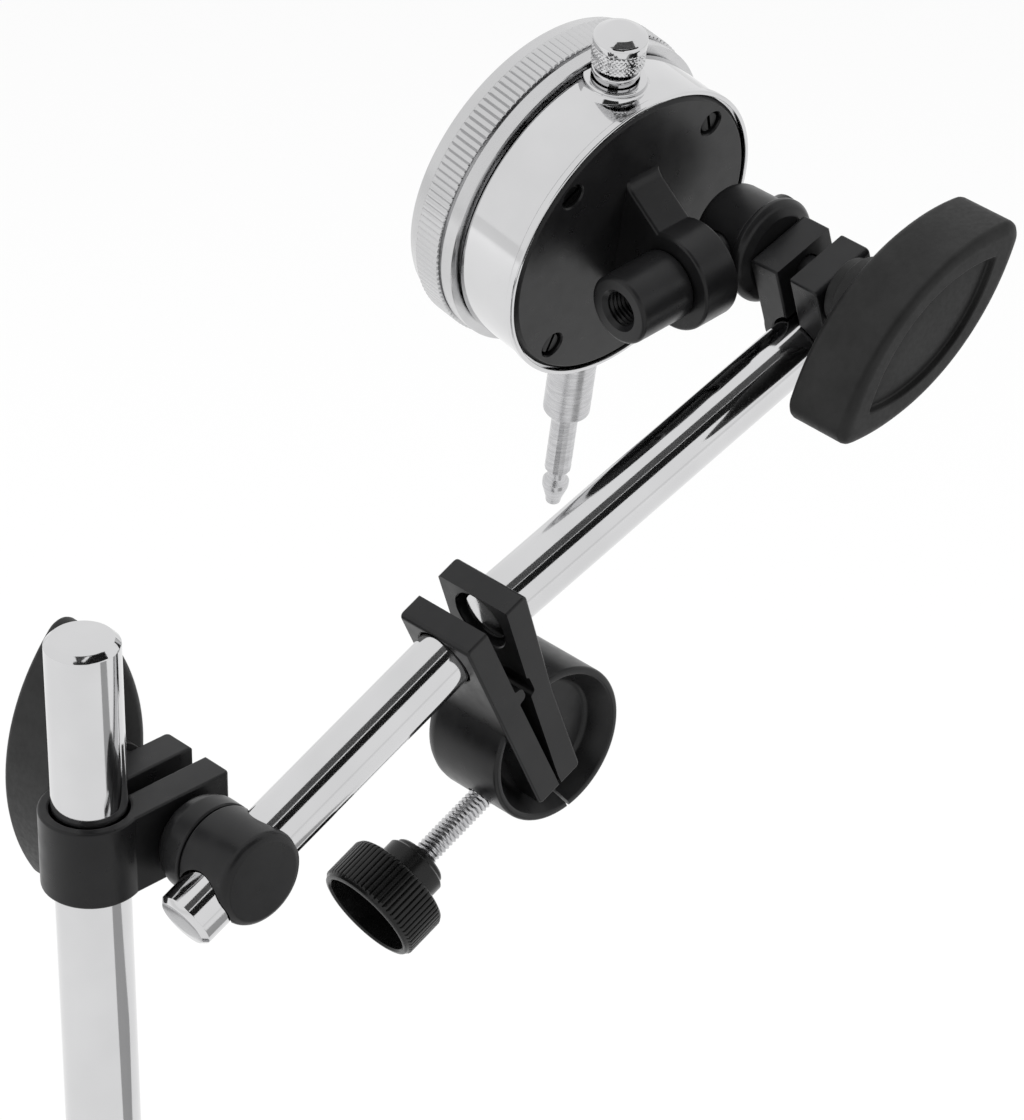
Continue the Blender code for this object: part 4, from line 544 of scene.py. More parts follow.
def box_mesh(x, y, z):
    """A box from its (low, high) pairs, as a cutter."""
    outline = [(x[0], y[0]), (x[1], y[0]), (x[1], y[1]), (x[0], y[1])]
    return stacked([[(a, b, level) for a, b in outline] for level in z])


def rounded_box(half_x, half_y, corner):
    """Outline of a rectangle with round corners."""
    corners = [(half_x, half_y), (-half_x, half_y), (-half_x, -half_y), (half_x, -half_y)]
    return rounded([(x, y, corner) for x, y in corners], True)


def moved(mesh, place):
    copy = mesh.copy()
    copy.transform(place)
    return copy


def joined(meshes):
    """One mesh of several separate ones."""
    work = bmesh.new()
    for mesh in meshes:
        work.from_mesh(mesh)
    result = bpy.data.meshes.new("shape")
    work.to_mesh(result)
    work.free()
    return result


def combined(mesh, add=(), keep=(), cut=()):
    """The mesh after exact booleans: others added, then what lies inside others kept, then others cut."""
    body = in_scene("body", mesh)
    tools = []
    for operation, others in (("UNION", add), ("INTERSECT", keep), ("DIFFERENCE", cut)):
        for other in others:
            tool = in_scene("tool", other)
            tools.append(tool)
            modifier = body.modifiers.new("step", "BOOLEAN")
            modifier.operation = operation
            modifier.solver = "EXACT"
            modifier.object = tool
    result = evaluated(body)
    for spare in [body, *tools]:
        bpy.data.objects.remove(spare)
    return result


def hole_tool(radius, low, high, chamfer=0.0, steps=ROUND_STEPS):
    """A drill along +Z between two faces, flared where it enters and leaves."""
    over = OVERRUN
    if chamfer == 0.0:
        return turned([(radius, low - over), (radius, high + over)], steps)
    profile = [
        (radius + chamfer + over, low - over),
        (radius, low + chamfer),
        (radius, high - chamfer),
        (radius + chamfer + over, high + over),
    ]
    return turned(profile, steps)


# Finishes

# Noise values between which a finish goes from dark to light and from smooth to rough
COLOUR_ENDS = (0.35, 0.65)
GLOSS_ENDS = (0.3, 0.7)
EVEN = (1.0, 1.0, 1.0)
NOISE_DETAIL = 3.0
LATHE_LINES = 0.12 * MM
PLATING_DARKER = 0.95
PLATING_BLUER = 1.01
CRYSTAL_IOR = 1.49


class Finish:
    """A node material: base shader, noises in the piece's own coordinates, and mixes of them."""

    def __init__(self, name, roughness, metallic, specular=0.5):
        self.material = bpy.data.materials.new(name)
        self.material.use_nodes = True
        self.tree = self.material.node_tree
        self.shader = self.tree.nodes["Principled BSDF"]
        self.shader.inputs["Roughness"].default_value = roughness
        self.shader.inputs["Metallic"].default_value = metallic
        self.shader.inputs["Specular IOR Level"].default_value = specular
        self.coordinates = self.tree.nodes.new("ShaderNodeTexCoord").outputs["Object"]

    def noise(self, grain, stretch=EVEN, detail=NOISE_DETAIL):
        """Noise whose blobs are about one grain across."""
        mapping = self.tree.nodes.new("ShaderNodeMapping")
        mapping.inputs["Scale"].default_value = stretch
        self.tree.links.new(self.coordinates, mapping.inputs["Vector"])
        texture = self.tree.nodes.new("ShaderNodeTexNoise")
        texture.inputs["Scale"].default_value = 1.0 / grain
        texture.inputs["Detail"].default_value = detail
        self.tree.links.new(mapping.outputs["Vector"], texture.inputs["Vector"])
        return texture.outputs["Fac"]

    def colours(self, pattern, dark, light):
        ramp = self.tree.nodes.new("ShaderNodeValToRGB")
        for element, place, colour in zip(ramp.color_ramp.elements, COLOUR_ENDS, (dark, light)):
            element.position = place
            element.color = (*colour, 1.0)
        self.tree.links.new(pattern, ramp.inputs["Fac"])
        self.tree.links.new(ramp.outputs["Color"], self.shader.inputs["Base Color"])

    def gloss(self, pattern, smooth, rough):
        span = self.tree.nodes.new("ShaderNodeMapRange")
        for name, value in zip(("From Min", "From Max", "To Min", "To Max"), (*GLOSS_ENDS, smooth, rough)):
            span.inputs[name].default_value = value
        self.tree.links.new(pattern, span.inputs["Value"])
        self.tree.links.new(span.outputs["Result"], self.shader.inputs["Roughness"])

    def bump(self, pattern, height, strength):
        bump = self.tree.nodes.new("ShaderNodeBump")
        bump.inputs["Strength"].default_value = strength
        bump.inputs["Distance"].default_value = height
        self.tree.links.new(pattern, bump.inputs["Height"])
        self.tree.links.new(bump.outputs["Normal"], self.shader.inputs["Normal"])


def finished(base, colours, gloss=None, relief=None):
    """A material from rows of values.

    base: name, roughness, metallic and, where it isn't usual, specular;
    colours: grain, stretch, dark, light; gloss: grain, stretch, smooth, rough;
    relief: grain, stretch, noise detail, height, strength.
    """
    finish = Finish(*base)
    grain, stretch, dark, light = colours
    finish.colours(finish.noise(grain, stretch), dark, light)
    if gloss:
        grain, stretch, smooth, rough = gloss
        finish.gloss(finish.noise(grain, stretch), smooth, rough)
    if relief:
        grain, stretch, detail, height, strength = relief
        finish.bump(finish.noise(grain, stretch, detail), height, strength)
    return finish.material


def plating(name, smooth, rough, light):
    """Bright metal with faint polishing lines round its axis."""
    dark = light * PLATING_DARKER
    return finished((name, smooth, 1.0),
                    (14.0 * MM, EVEN, *((shade, shade, shade * PLATING_BLUER) for shade in (dark, light))),
                    (0.5 * MM, (0.2, 0.2, 3.0), smooth, rough),
                    (0.25 * MM, (0.15, 0.15, 2.0), NOISE_DETAIL, 0.0012 * MM, 0.35))


def turned_metal(name, dark, light, smooth, rough):
    """Metal with the fine rings that a lathe leaves."""
    return finished((name, rough, 1.0),
                    (LATHE_LINES * 3.0, (0.1, 0.1, 1.0), dark, light),
                    (LATHE_LINES * 5.0, (0.2, 0.2, 1.0), smooth, rough),
                    (LATHE_LINES, (0.04, 0.04, 1.0), NOISE_DETAIL, 0.004 * MM, 0.5))


def clear_crystal():
    finish = Finish("clear_crystal", 0.02, 0.0)
    finish.shader.inputs["Transmission Weight"].default_value = 1.0
    finish.shader.inputs["IOR"].default_value = CRYSTAL_IOR
    finish.colours(finish.noise(20.0 * MM), (0.97, 0.98, 0.98), (0.99, 1.0, 1.0))
    return finish.material


LOOKS = {
    "ground_iron": finished(
        ("ground_iron", 0.34, 1.0),
        (4.0 * MM, (0.15, 1.0, 1.0), (0.33, 0.33, 0.34), (0.46, 0.46, 0.47)),
        (1.2 * MM, (0.06, 1.0, 1.0), 0.24, 0.42),
        (0.22 * MM, (0.02, 1.0, 1.0), NOISE_DETAIL, 0.006 * MM, 0.6)),
    "spacer_aluminium": turned_metal(
        "machined_aluminium", (0.70, 0.71, 0.72), (0.80, 0.81, 0.82), 0.25, 0.40),
    "black_paint": finished(
        ("satin_black_paint", 0.34, 0.0, 0.26),
        (9.0 * MM, EVEN, (0.0085, 0.0085, 0.009), (0.0125, 0.0125, 0.013)),
        (2.5 * MM, EVEN, 0.27, 0.36),
        (0.35 * MM, EVEN, NOISE_DETAIL, 0.006 * MM, 0.6)),
    "black_plastic": finished(
        ("moulded_black_plastic", 0.48, 0.0, 0.26),
        (6.0 * MM, EVEN, (0.008, 0.008, 0.008), (0.013, 0.013, 0.013)),
        (0.9 * MM, EVEN, 0.42, 0.54),
        (0.16 * MM, EVEN, 5.0, 0.012 * MM, 0.8)),
    "glossy_plastic": finished(
        ("glossy_black_plastic", 0.24, 0.0, 0.3),
        (4.0 * MM, EVEN, (0.005, 0.005, 0.005), (0.009, 0.009, 0.009)),
        (1.2 * MM, EVEN, 0.20, 0.32),
        (0.3 * MM, EVEN, NOISE_DETAIL, 0.004 * MM, 0.6)),
    "chrome": plating("bright_chrome", 0.05, 0.11, 0.66),
    "satin_chrome": plating("satin_chrome", 0.17, 0.28, 0.60),
    "steel": turned_metal("turned_steel", (0.50, 0.50, 0.51), (0.62, 0.62, 0.63), 0.20, 0.34),
    "black_steel": turned_metal("blackened_steel", (0.02, 0.02, 0.02), (0.04, 0.04, 0.04), 0.3, 0.4),
    "magnet_core": finished(
        ("magnet_core", 0.6, 1.0),
        (2.0 * MM, EVEN, (0.16, 0.16, 0.17), (0.26, 0.26, 0.27)),
        relief=(0.3 * MM, EVEN, NOISE_DETAIL, 0.03 * MM, 0.6)),
    "brass": turned_metal("turned_brass", (0.70, 0.53, 0.24), (0.82, 0.65, 0.32), 0.20, 0.36),
    "dial_white": finished(
        ("dial_white", 0.5, 0.0),
        (5.0 * MM, EVEN, (0.83, 0.83, 0.80), (0.87, 0.87, 0.84)),
        relief=(0.12 * MM, EVEN, NOISE_DETAIL, 0.003 * MM, 0.4)),
    "hand_black": finished(
        ("printed_black", 0.4, 0.0),
        (0.8 * MM, EVEN, (0.010, 0.010, 0.010), (0.018, 0.018, 0.018))),
    "crystal_glass": clear_crystal(),
}

# Finishes without a direction: their pieces have their place in the mesh, which keeps the bounds tight
GRAINLESS = ("black_paint", "black_plastic", "glossy_plastic", "hand_black")


def show(node, mesh, place, look=None, name=None):
    """A finished piece that stands for a node and moves with its body."""
    if (look or SLOT_OF[node]) in GRAINLESS:
        mesh.transform(place)
        place = Matrix()
    mesh.shade_smooth()
    mesh.set_sharp_from_angle(angle=radians(SHARP_ANGLE))
    mesh.materials.clear()
    mesh.materials.append(LOOKS[look or SLOT_OF[node]])
    piece = in_scene(name or f"fine_{node}", mesh)
    mesh.name = piece.name
    piece.matrix_world = place
    weighted = piece.modifiers.new("even_shading", "WEIGHTED_NORMAL")
    weighted.keep_sharp = True
    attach(piece, BODY_OF[node])
    if name is None:
        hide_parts(node)


# Magnetic base

def cross_head():
    """Cutters for a cross recess in a screw head whose face is at z = 0."""
    arms = []
    for long_side, short_side in ((CROSS_LENGTH, CROSS_WIDTH), (CROSS_WIDTH, CROSS_LENGTH)):
        x = (-long_side / 2.0, long_side / 2.0)
        y = (-short_side / 2.0, short_side / 2.0)
        arms.append(box_mesh(x, y, (-CROSS_DEPTH, OVERRUN)))
    return arms


def base_covers():
    low = VEE_DEPTH + COVER_MARGIN
    high = BASE_HEIGHT - COVER_MARGIN
    outline = rounded_box(BASE_WIDTH / 2.0 - COVER_MARGIN, (high - low) / 2.0, COVER_CORNER)
    drops = (low + COVER_SCREW_INSET, high - COVER_SCREW_INSET)
    side_place = BASE_WIDTH / 2.0 - COVER_SCREW_INSET
    screw_profile = [
        (COVER_SCREW_RADIUS, -COVER_SCREW_LENGTH),
        (COVER_SCREW_RADIUS, -COVER_SCREW_HEAD_HEIGHT),
        (COVER_SCREW_HEAD, -COVER_SCREW_HEAD_HEIGHT * COVER_SCREW_CROWN, HAIR * 2.0),
        (COVER_SCREW_HEAD, 0.0, HAIR * 2.0),
        (COVER_SCREW_HEAD * COVER_SCREW_FLAT, 0.0),
    ]
    screw = combined(turned(screw_profile, SMALL_STEPS), cut=cross_head())
    sink_profile = [
        (COVER_SCREW_RADIUS + GAP, -COVER_THICKNESS - OVERRUN),
        (COVER_SCREW_RADIUS + GAP, -COVER_SCREW_HEAD_HEIGHT - GAP),
        (COVER_SCREW_HEAD + GAP, -GAP),
        (COVER_SCREW_HEAD + GAP, OVERRUN),
    ]
    for node, end in (("base_knob_cover", 1), ("base_end_cover", -1)):
        face_turn = ONTO_X if end > 0 else ONTO_MINUS_X
        body = plate(outline, 0.0, COVER_THICKNESS, COVER_EDGE)
        body.transform(shift(min(end * BASE_LENGTH / 2.0, end * (BASE_LENGTH / 2.0 - COVER_THICKNESS)),
                             0.0, (low + high) / 2.0) @ OUTLINE_ALONG_Y)
        places = [shift(end * BASE_LENGTH / 2.0, side * side_place, drop) @ face_turn
                  for side, drop in zip((-1, 1), drops)]
        cuts = [moved(turned(sink_profile, SMALL_STEPS), place) for place in places]
        if end > 0:
            shaft = hole_tool(ROTOR_SHAFT_RADIUS + GAP, -COVER_THICKNESS, 0.0)
            cuts.append(moved(shaft, shift(BASE_LENGTH / 2.0, 0.0, ROTOR_HEIGHT) @ ONTO_X))
        show(node, combined(body, cut=cuts), AT["base"])
        for number, place in enumerate(places, start=1):
            show(f"{node}_screw_{number}", screw.copy(), AT["base"] @ place)


def switch_knob():
    start = BASE_LENGTH / 2.0 + GAP
    top = start + SWITCH_DISC
    disc = [
        (ROTOR_SHAFT_RADIUS + GAP, start + SWITCH_SOCKET + GAP),
        (ROTOR_SHAFT_RADIUS + GAP, start),
        (SWITCH_RADIUS, start, SWITCH_EDGE / 3.0),
        (SWITCH_RADIUS, top, SWITCH_EDGE),
        (SWITCH_GRIP_LENGTH / 2.0, top),
    ]
    grip_corner = SWITCH_GRIP_WIDTH * SWITCH_GRIP_ROUND
    grip = rounded_box(SWITCH_GRIP_LENGTH / 2.0, SWITCH_GRIP_WIDTH / 2.0, grip_corner)
    grip_mesh = plate(grip, top - SWITCH_EDGE * 2.0, top + SWITCH_GRIP_HEIGHT, SWITCH_EDGE)
    knob = combined(turned(disc, WIDE_STEPS), add=[grip_mesh])
    show("switch_knob", knob, AT["switch"] @ ONTO_X)


def post():
    profile = [
        (POST_STUD_RADIUS, -POST_STUD_LENGTH),
        (POST_STUD_RADIUS, GAP),
        (POST_RADIUS, GAP, GAP),
        (POST_RADIUS, POST_LENGTH - POST_CHAMFER, GAP),
        (POST_RADIUS - POST_CHAMFER, POST_LENGTH, GAP),
        (POST_RADIUS * CORE, POST_LENGTH),
    ]
    show("post", turned(profile, WIDE_STEPS), AT["seat"])


# Clamps

def clamp_collar(node, at, size):
    """A split collar with two ears and soft cast edges."""
    half = size["ears"] / 2.0
    slot = size["slot"] / 2.0
    reach = size["ear_reach"]
    bore = size["bore"] + GAP
    root_turn = degrees(asin(half / size["collar"]))
    slot_turn = degrees(asin(slot / bore))
    outline = rounded([(reach, slot), (reach, half, EAR_CORNER), (0.0, half)])[:-1]
    outline += arc((0.0, 0.0), size["collar"], root_turn, 360.0 - root_turn, ROUND_STEPS)
    outline += rounded([(0.0, -half), (reach, -half, EAR_CORNER), (reach, -slot)])[1:]
    outline += arc((0.0, 0.0), bore, 360.0 - slot_turn, slot_turn, ROUND_STEPS)
    height = size["height"] / 2.0
    body = plate(outline, -height, height, CAST_EDGE)
    stud = hole_tool(size["stud"] + GAP, -half, half, steps=SMALL_STEPS)
    stud = moved(stud, shift(x=size["bolt"]) @ ONTO_Y)
    show(node, combined(body, cut=[stud]), at)


def eye_bolt(node, pivot, size, cross_turn):
    """The drilled head with its neck and stud."""
    centre = size["head_centre"]
    outer = centre + size["head_half"]
    inner = centre - size["hole"]
    neck_end = inner - size["neck_length"]
    stud_end = -(size["ears"] / 2.0 + WING_SOCKET)
    edge = size["head"] - size["head_flat"]
    profile = [
        (size["stud"], stud_end),
        (size["stud"], neck_end),
        (size["neck"], neck_end, CAST_EDGE / 2.0),
        (size["neck"], inner),
        (size["head"], inner, CAST_EDGE),
        (size["head"], outer, edge * EYE_EDGE_SHARE),
        (size["head"] * 0.4, outer),
    ]
    hole = moved(hole_tool(size["hole"] + GAP, -size["head"], size["head"]), shift(y=-centre) @ cross_turn)
    bolt = moved(turned(profile, WIDE_STEPS), ONTO_MINUS_Y)
    show(node, combined(bolt, cut=[hole]), pivot)


def washer(node, pivot, size):
    """A domed washer between the ears and the drilled head."""
    low = size["ears"] / 2.0 + GAP
    high = size["head_centre"] - size["hole"] - GAP
    recess = high - size["neck_length"] - GAP
    rim_low = high - size["washer_rim"]
    bore = size["stud"] + GAP
    shoulder = size["dome"] + (size["washer"] - size["dome"]) * WASHER_SHOULDER
    profile = [
        (bore, low),
        (size["dome"], low, CAST_EDGE),
        (shoulder, low + (rim_low - low) * WASHER_SHOULDER_RISE, size["washer"] / 2.0),
        (size["washer"], rim_low, size["washer_rim"] / 2.0),
        (size["washer"], high, CAST_EDGE),
        (size["neck"] + GAP, high),
        (size["neck"] + GAP, recess),
        (bore, recess),
    ]
    show(node, turned(profile, WIDE_STEPS, ring=True), pivot @ ONTO_MINUS_Y)


def lens(half_length, half_width, height, tip):
    """Two arcs that meet in round tips, long along X."""
    a = half_length - tip
    b = half_width - tip
    radius = (a * a + b * b) / (2.0 * b)
    half_turn = degrees(asin(a / radius))
    outline = []
    for side in (1, -1):
        middle = 90.0 * side
        side_centre = (0.0, side * (b - radius))
        outline += arc(side_centre, radius + tip, middle - half_turn, middle + half_turn, SMALL_STEPS)
        tip_start = middle + half_turn
        tip_end = middle + 180.0 - half_turn
        outline += arc((-side * a, 0.0), tip, tip_start, tip_end, FILLET_STEPS * 2)[1:-1]
    return [(x, y, height) for x, y in outline]


def wing_knob(node, axis, size, turn):
    """A lens-shaped hand knob with a raised rim round its face, on a stepped hub."""
    start = size["ears"] / 2.0 + GAP
    low = start + WING_HUB_LENGTH
    high = low + WING_THICKNESS
    floor = high - WING_RECESS
    side_line = [
        (WING_RIM, low),
        (0.0, low, WING_EDGE),
        (0.0, high, WING_EDGE),
        (WING_RIM, high - HAIR, WING_RECESS_EDGE),
        (WING_RIM + WING_RECESS_EDGE, floor, WING_RECESS_EDGE),
        (WING_WIDTH / 2.0 - WING_TIP, floor + WING_RECESS / 3.0),
    ]
    tip_stretch = WING_RIM_TIP / WING_RIM
    loops = []
    for inward, height in rounded(side_line, steps=FILLET_STEPS):
        tip = max(WING_TIP - inward * WING_TIP_FALL, WING_TIP * WING_TIP_LEAST)
        loops.append(lens(WING_LENGTH / 2.0 - inward * tip_stretch, WING_WIDTH / 2.0 - inward, height, tip))
    step = start + WING_HUB_LENGTH * WING_STEP_SHARE
    hub = turned([
        (size["stud"] + GAP, start),
        (WING_HUB_STEP, start, CAST_EDGE / 2.0),
        (WING_HUB_STEP, step),
        (WING_HUB_RADIUS, step, CAST_EDGE / 2.0),
        (WING_HUB_RADIUS, low + WING_EDGE),
        (size["stud"] + GAP, low + WING_EDGE),
    ], ROUND_STEPS, ring=True)
    radius = size["stud"] + GAP
    socket = turned([(radius, start - OVERRUN), (radius, start + WING_SOCKET)], SMALL_STEPS)
    place = axis @ spin(turn, "Y") @ LENGTH_UP_THICKNESS_OUT
    show(node, combined(stacked(loops), add=[hub], cut=[socket]), place)


# Arm

def rods():
    spans = (("rod_1", -ROD_TAIL, PLATE_1_INNER - ROD_RECESS, "arm"),
             ("rod_2", 0.0, ROD_2_REACH + ROD_2_PAST_CLAMP, "outer"))
    for node, low, high, place in spans:
        profile = [
            (ROD_RADIUS * CORE, low),
            (ROD_RADIUS - ROD_CHAMFER, low, GAP),
            (ROD_RADIUS, low + ROD_CHAMFER, GAP),
            (ROD_RADIUS, high - ROD_CHAMFER, GAP),
            (ROD_RADIUS - ROD_CHAMFER, high, GAP),
            (ROD_RADIUS * CORE, high),
        ]
        show(node, turned(profile, WIDE_STEPS), AT[place] @ ONTO_X)


def slit_line(side):
    """One wall of the slit in (u, h), from its apex up, for the left (-1) or the right (1) half."""
    lean = tan(radians(JAW_ANGLE)) if side > 0 else 0.0
    inner = PLATE_2_INNER if side > 0 else PLATE_1_INNER
    half = POCKET_HALF if side > 0 else NUB_HALF
    nub_low = NUB_HEIGHT - half
    nub_high = NUB_HEIGHT + half
    shoulder = SLIT_APEX_U + (SLIT_RIGHT if side > 0 else -SLIT_LEFT)
    bump = shoulder + (POCKET_REACH if side > 0 else NUB_REACH)
    return rounded([
        (SLIT_APEX_U + side * SLIT_APEX_HALF, SLIT_APEX_H - SLIT_TAIL),
        (SLIT_APEX_U + side * SLIT_APEX_HALF, SLIT_APEX_H),
        (shoulder, nub_low - GAP, GAP),
        (bump, nub_low, EAR_CORNER),
        (bump, nub_high, EAR_CORNER),
        (inner + lean * (nub_high + GAP), nub_high + GAP, GAP),
        (inner + lean * (PLATE_TOP + OVERRUN), PLATE_TOP + OVERRUN),
    ])


def bar_outline():
    """Both plates and the bar under them, in (u, h)."""
    lean = tan(radians(JAW_ANGLE))
    right_top = PLATE_2_INNER + PLATE_THICKNESS
    return rounded([
        (PLATE_1_INNER - PLATE_THICKNESS, PLATE_TOP, EAR_CORNER),
        (PLATE_1_INNER - PLATE_THICKNESS, BAR_BOTTOM, EAR_CORNER),
        (BAR_RIGHT, BAR_BOTTOM, EAR_CORNER),
        (BAR_SHOULDER_U, BAR_SHOULDER, EAR_ROOT),
        (right_top + lean * PLATE_TOP, PLATE_TOP, EAR_CORNER),
    ], True)


def adjuster_half(node, side):
    """One half of the casting at the slit: its plate and its share of the drum."""
    bar = moved(plate(bar_outline(), -PLATE_HALF_WIDTH, PLATE_HALF_WIDTH, CAST_EDGE), OUTLINE_ALONG_X)
    drum_profile = [
        (DRUM_RADIUS * CORE, -DRUM_BACK),
        (DRUM_RADIUS, -DRUM_BACK, DRUM_BACK_ROUND),
        (DRUM_RADIUS, DRUM_FRONT, DRUM_FRONT_ROUND),
        (DISH_MOUTH, DRUM_FRONT, CAST_EDGE),
        (DISH_FLOOR, DRUM_FRONT - DISH_DEPTH, EAR_ROOT),
        (DISH_FLOOR * CORE, DRUM_FRONT - DISH_DEPTH),
    ]
    drum_place = shift(DRUM_CENTRE_U, 0.0, DRUM_CENTRE_H) @ ONTO_MINUS_Y
    drum = moved(turned(drum_profile, WIDE_STEPS), drum_place)
    far = DRUM_CENTRE_U + side * (DRUM_RADIUS + OVERRUN)
    line = slit_line(side)
    keep = line + [(far, line[-1][1]), (far, line[0][1])]
    reach = DRUM_FRONT + OVERRUN
    keep_side = stacked([[(u, y, h) for u, h in keep] for y in (-reach, reach)])
    half_plate = PLATE_THICKNESS / 2.0
    bore = hole_tool(ROD_RADIUS + GAP, -half_plate, half_plate, CAST_EDGE / 2.0, WIDE_STEPS)
    if side < 0:
        bore_place = shift(x=PLATE_1_INNER - half_plate) @ ONTO_X
        low, high = DRUM_CENTRE_U - DRUM_RADIUS - OVERRUN, SLIT_APEX_U + OVERRUN
        radius = ADJUST_SCREW_RADIUS + GAP
    else:
        jaw = shift(x=OUTER_AXIS_START) @ spin(JAW_ANGLE, "Y")
        bore_place = jaw @ shift(x=half_plate - ROD_RECESS) @ ONTO_X
        low, high = SLIT_APEX_U - OVERRUN, SLIT_APEX_U + ADJUST_SCREW_TIP + ADJUST_HOLE_SPARE
        radius = ADJUST_SCREW_RADIUS + ADJUST_HOLE_SPARE
    screw_way = turned([(radius, low), (radius, high)], SMALL_STEPS)
    screw_way = moved(screw_way, shift(z=ADJUST_SCREW_H) @ ONTO_X)
    half = combined(bar, [drum], [keep_side], [moved(bore, bore_place), screw_way])
    show(node, half, AT["arm"])


def ribbed_loop(ribs, radius, height, depth=0.0):
    """A circle with rounded ribs, four points to a rib."""
    points = []
    for i in range(ribs):
        for share, drop in RIB_PROFILE:
            turn = 2.0 * pi * (i + share) / ribs
            r = radius - depth * drop
            points.append((r * cos(turn), r * sin(turn), height))
    return points


def ribbed(levels, ribs):
    """A ring through (radius, height) or (radius, height, rib depth) levels."""
    return stacked([ribbed_loop(ribs, *level) for level in levels], ring=True)


def thread(radius, depth, low, high, pitch, inner=False, steps=SMALL_STEPS):
    """Loops of a threaded cylinder: a ridge that climbs one pitch a turn."""
    rows = int(ceil((high - low) / pitch * THREAD_ROWS))
    loops = []
    for row in range(rows + 1):
        height = low + (high - low) * row / rows
        fade = min(1.0, (height - low) / pitch, (high - height) / pitch)
        loop = []
        for i in range(steps):
            turn = 2.0 * pi * i / steps
            phase = (height / pitch - i / steps) % 1.0
            ridge = abs(2.0 * phase - 1.0)
            deep = depth * (1.0 - ridge * fade)
            r = radius + deep if inner else radius - deep
            loop.append((r * cos(turn), r * sin(turn), height))
        loops.append(loop)
    return loops


def adjuster_screw():
    low = KNOB_START + KNOB_CUP_DEPTH + GAP * 2.0
    high = SLIT_APEX_U + ADJUST_SCREW_TIP
    loops = thread(ADJUST_SCREW_RADIUS, THREAD_DEPTH, low, high, THREAD_PITCH)
    show("adjuster_screw", stacked(loops), AT["screw"] @ ONTO_X)
    start = KNOB_START
    band_end = start + KNOB_BAND
    hub_end = band_end + KNOB_HUB_LENGTH - KNOB_NECK_LENGTH
    bore = ADJUST_SCREW_RADIUS + GAP
    cup = KNOB_RADIUS - KNOB_RIM
    edge = GAP
    deep = KNOB_RIB_DEPTH
    levels = [
        (bore, start + KNOB_CUP_DEPTH),
        (cup - edge * 3.0, start + KNOB_CUP_DEPTH),
        (cup - edge, start + KNOB_CUP_DEPTH - edge * 2.0),
        (cup, start + edge),
        (cup + edge, start),
        (KNOB_RADIUS - deep - edge * 2.0, start),
        (KNOB_RADIUS - deep - edge * 0.6, start + edge * 0.6),
        (KNOB_RADIUS - deep, start + edge * 2.0),
        (KNOB_RADIUS, start + edge * 3.0, deep),
        (KNOB_RADIUS, band_end - edge * 3.0, deep),
        (KNOB_RADIUS - deep, band_end - edge),
        (KNOB_RADIUS - deep - edge * 2.0, band_end),
        (KNOB_HUB_RADIUS + edge, band_end),
        (KNOB_HUB_RADIUS, band_end + edge),
        (KNOB_HUB_RADIUS, hub_end - edge),
        (KNOB_HUB_RADIUS - edge, hub_end),
        (KNOB_HUB_STEP, hub_end),
        (KNOB_HUB_STEP, hub_end + KNOB_NECK_LENGTH - edge),
        (KNOB_HUB_STEP - edge, hub_end + KNOB_NECK_LENGTH),
        (bore, hub_end + KNOB_NECK_LENGTH),
    ]
    show("adjuster_knob", ribbed(levels, KNOB_RIBS), AT["screw"] @ ONTO_X, "glossy_plastic")


# Lug pin

def lug_pin():
    shoulder_end = LUG_START - GAP
    profile = [
        (PIN_RADIUS * CORE, -PIN_TAIL),
        (PIN_RADIUS, -PIN_TAIL, CAST_EDGE),
        (PIN_RADIUS, PIN_SHOULDER_START),
        (PIN_SHOULDER_RADIUS, PIN_SHOULDER_START, CAST_EDGE),
        (PIN_SHOULDER_RADIUS, shoulder_end, CAST_EDGE),
        (PIN_THREAD_RADIUS, shoulder_end),
        (PIN_THREAD_RADIUS, SLEEVE_THREAD_START, CAST_EDGE),
        (PIN_THREAD_RADIUS * CORE, SLEEVE_THREAD_START),
    ]
    show("lug_pin", turned(profile), AT["pin"] @ UPSIDE_DOWN)
    start = LUG_START + LUG_THICKNESS + GAP
    bore = PIN_THREAD_RADIUS + GAP
    edge = SLEEVE_CHAMFER
    outer = rounded([
        (bore, start),
        (SLEEVE_RADIUS, start, CAST_EDGE),
        (SLEEVE_RADIUS, SLEEVE_END, edge),
        (bore + edge, SLEEVE_END),
        (bore, SLEEVE_END - edge),
    ])
    loops = [circle(radius, height, SMALL_STEPS) for radius, height in outer]
    turns = thread(bore, SLEEVE_THREAD_DEPTH, start, SLEEVE_END - edge, THREAD_PITCH, inner=True)
    loops += turns[-2:0:-1]
    show("sleeve_nut", stacked(loops, ring=True), AT["pin"] @ UPSIDE_DOWN)


# Indicator

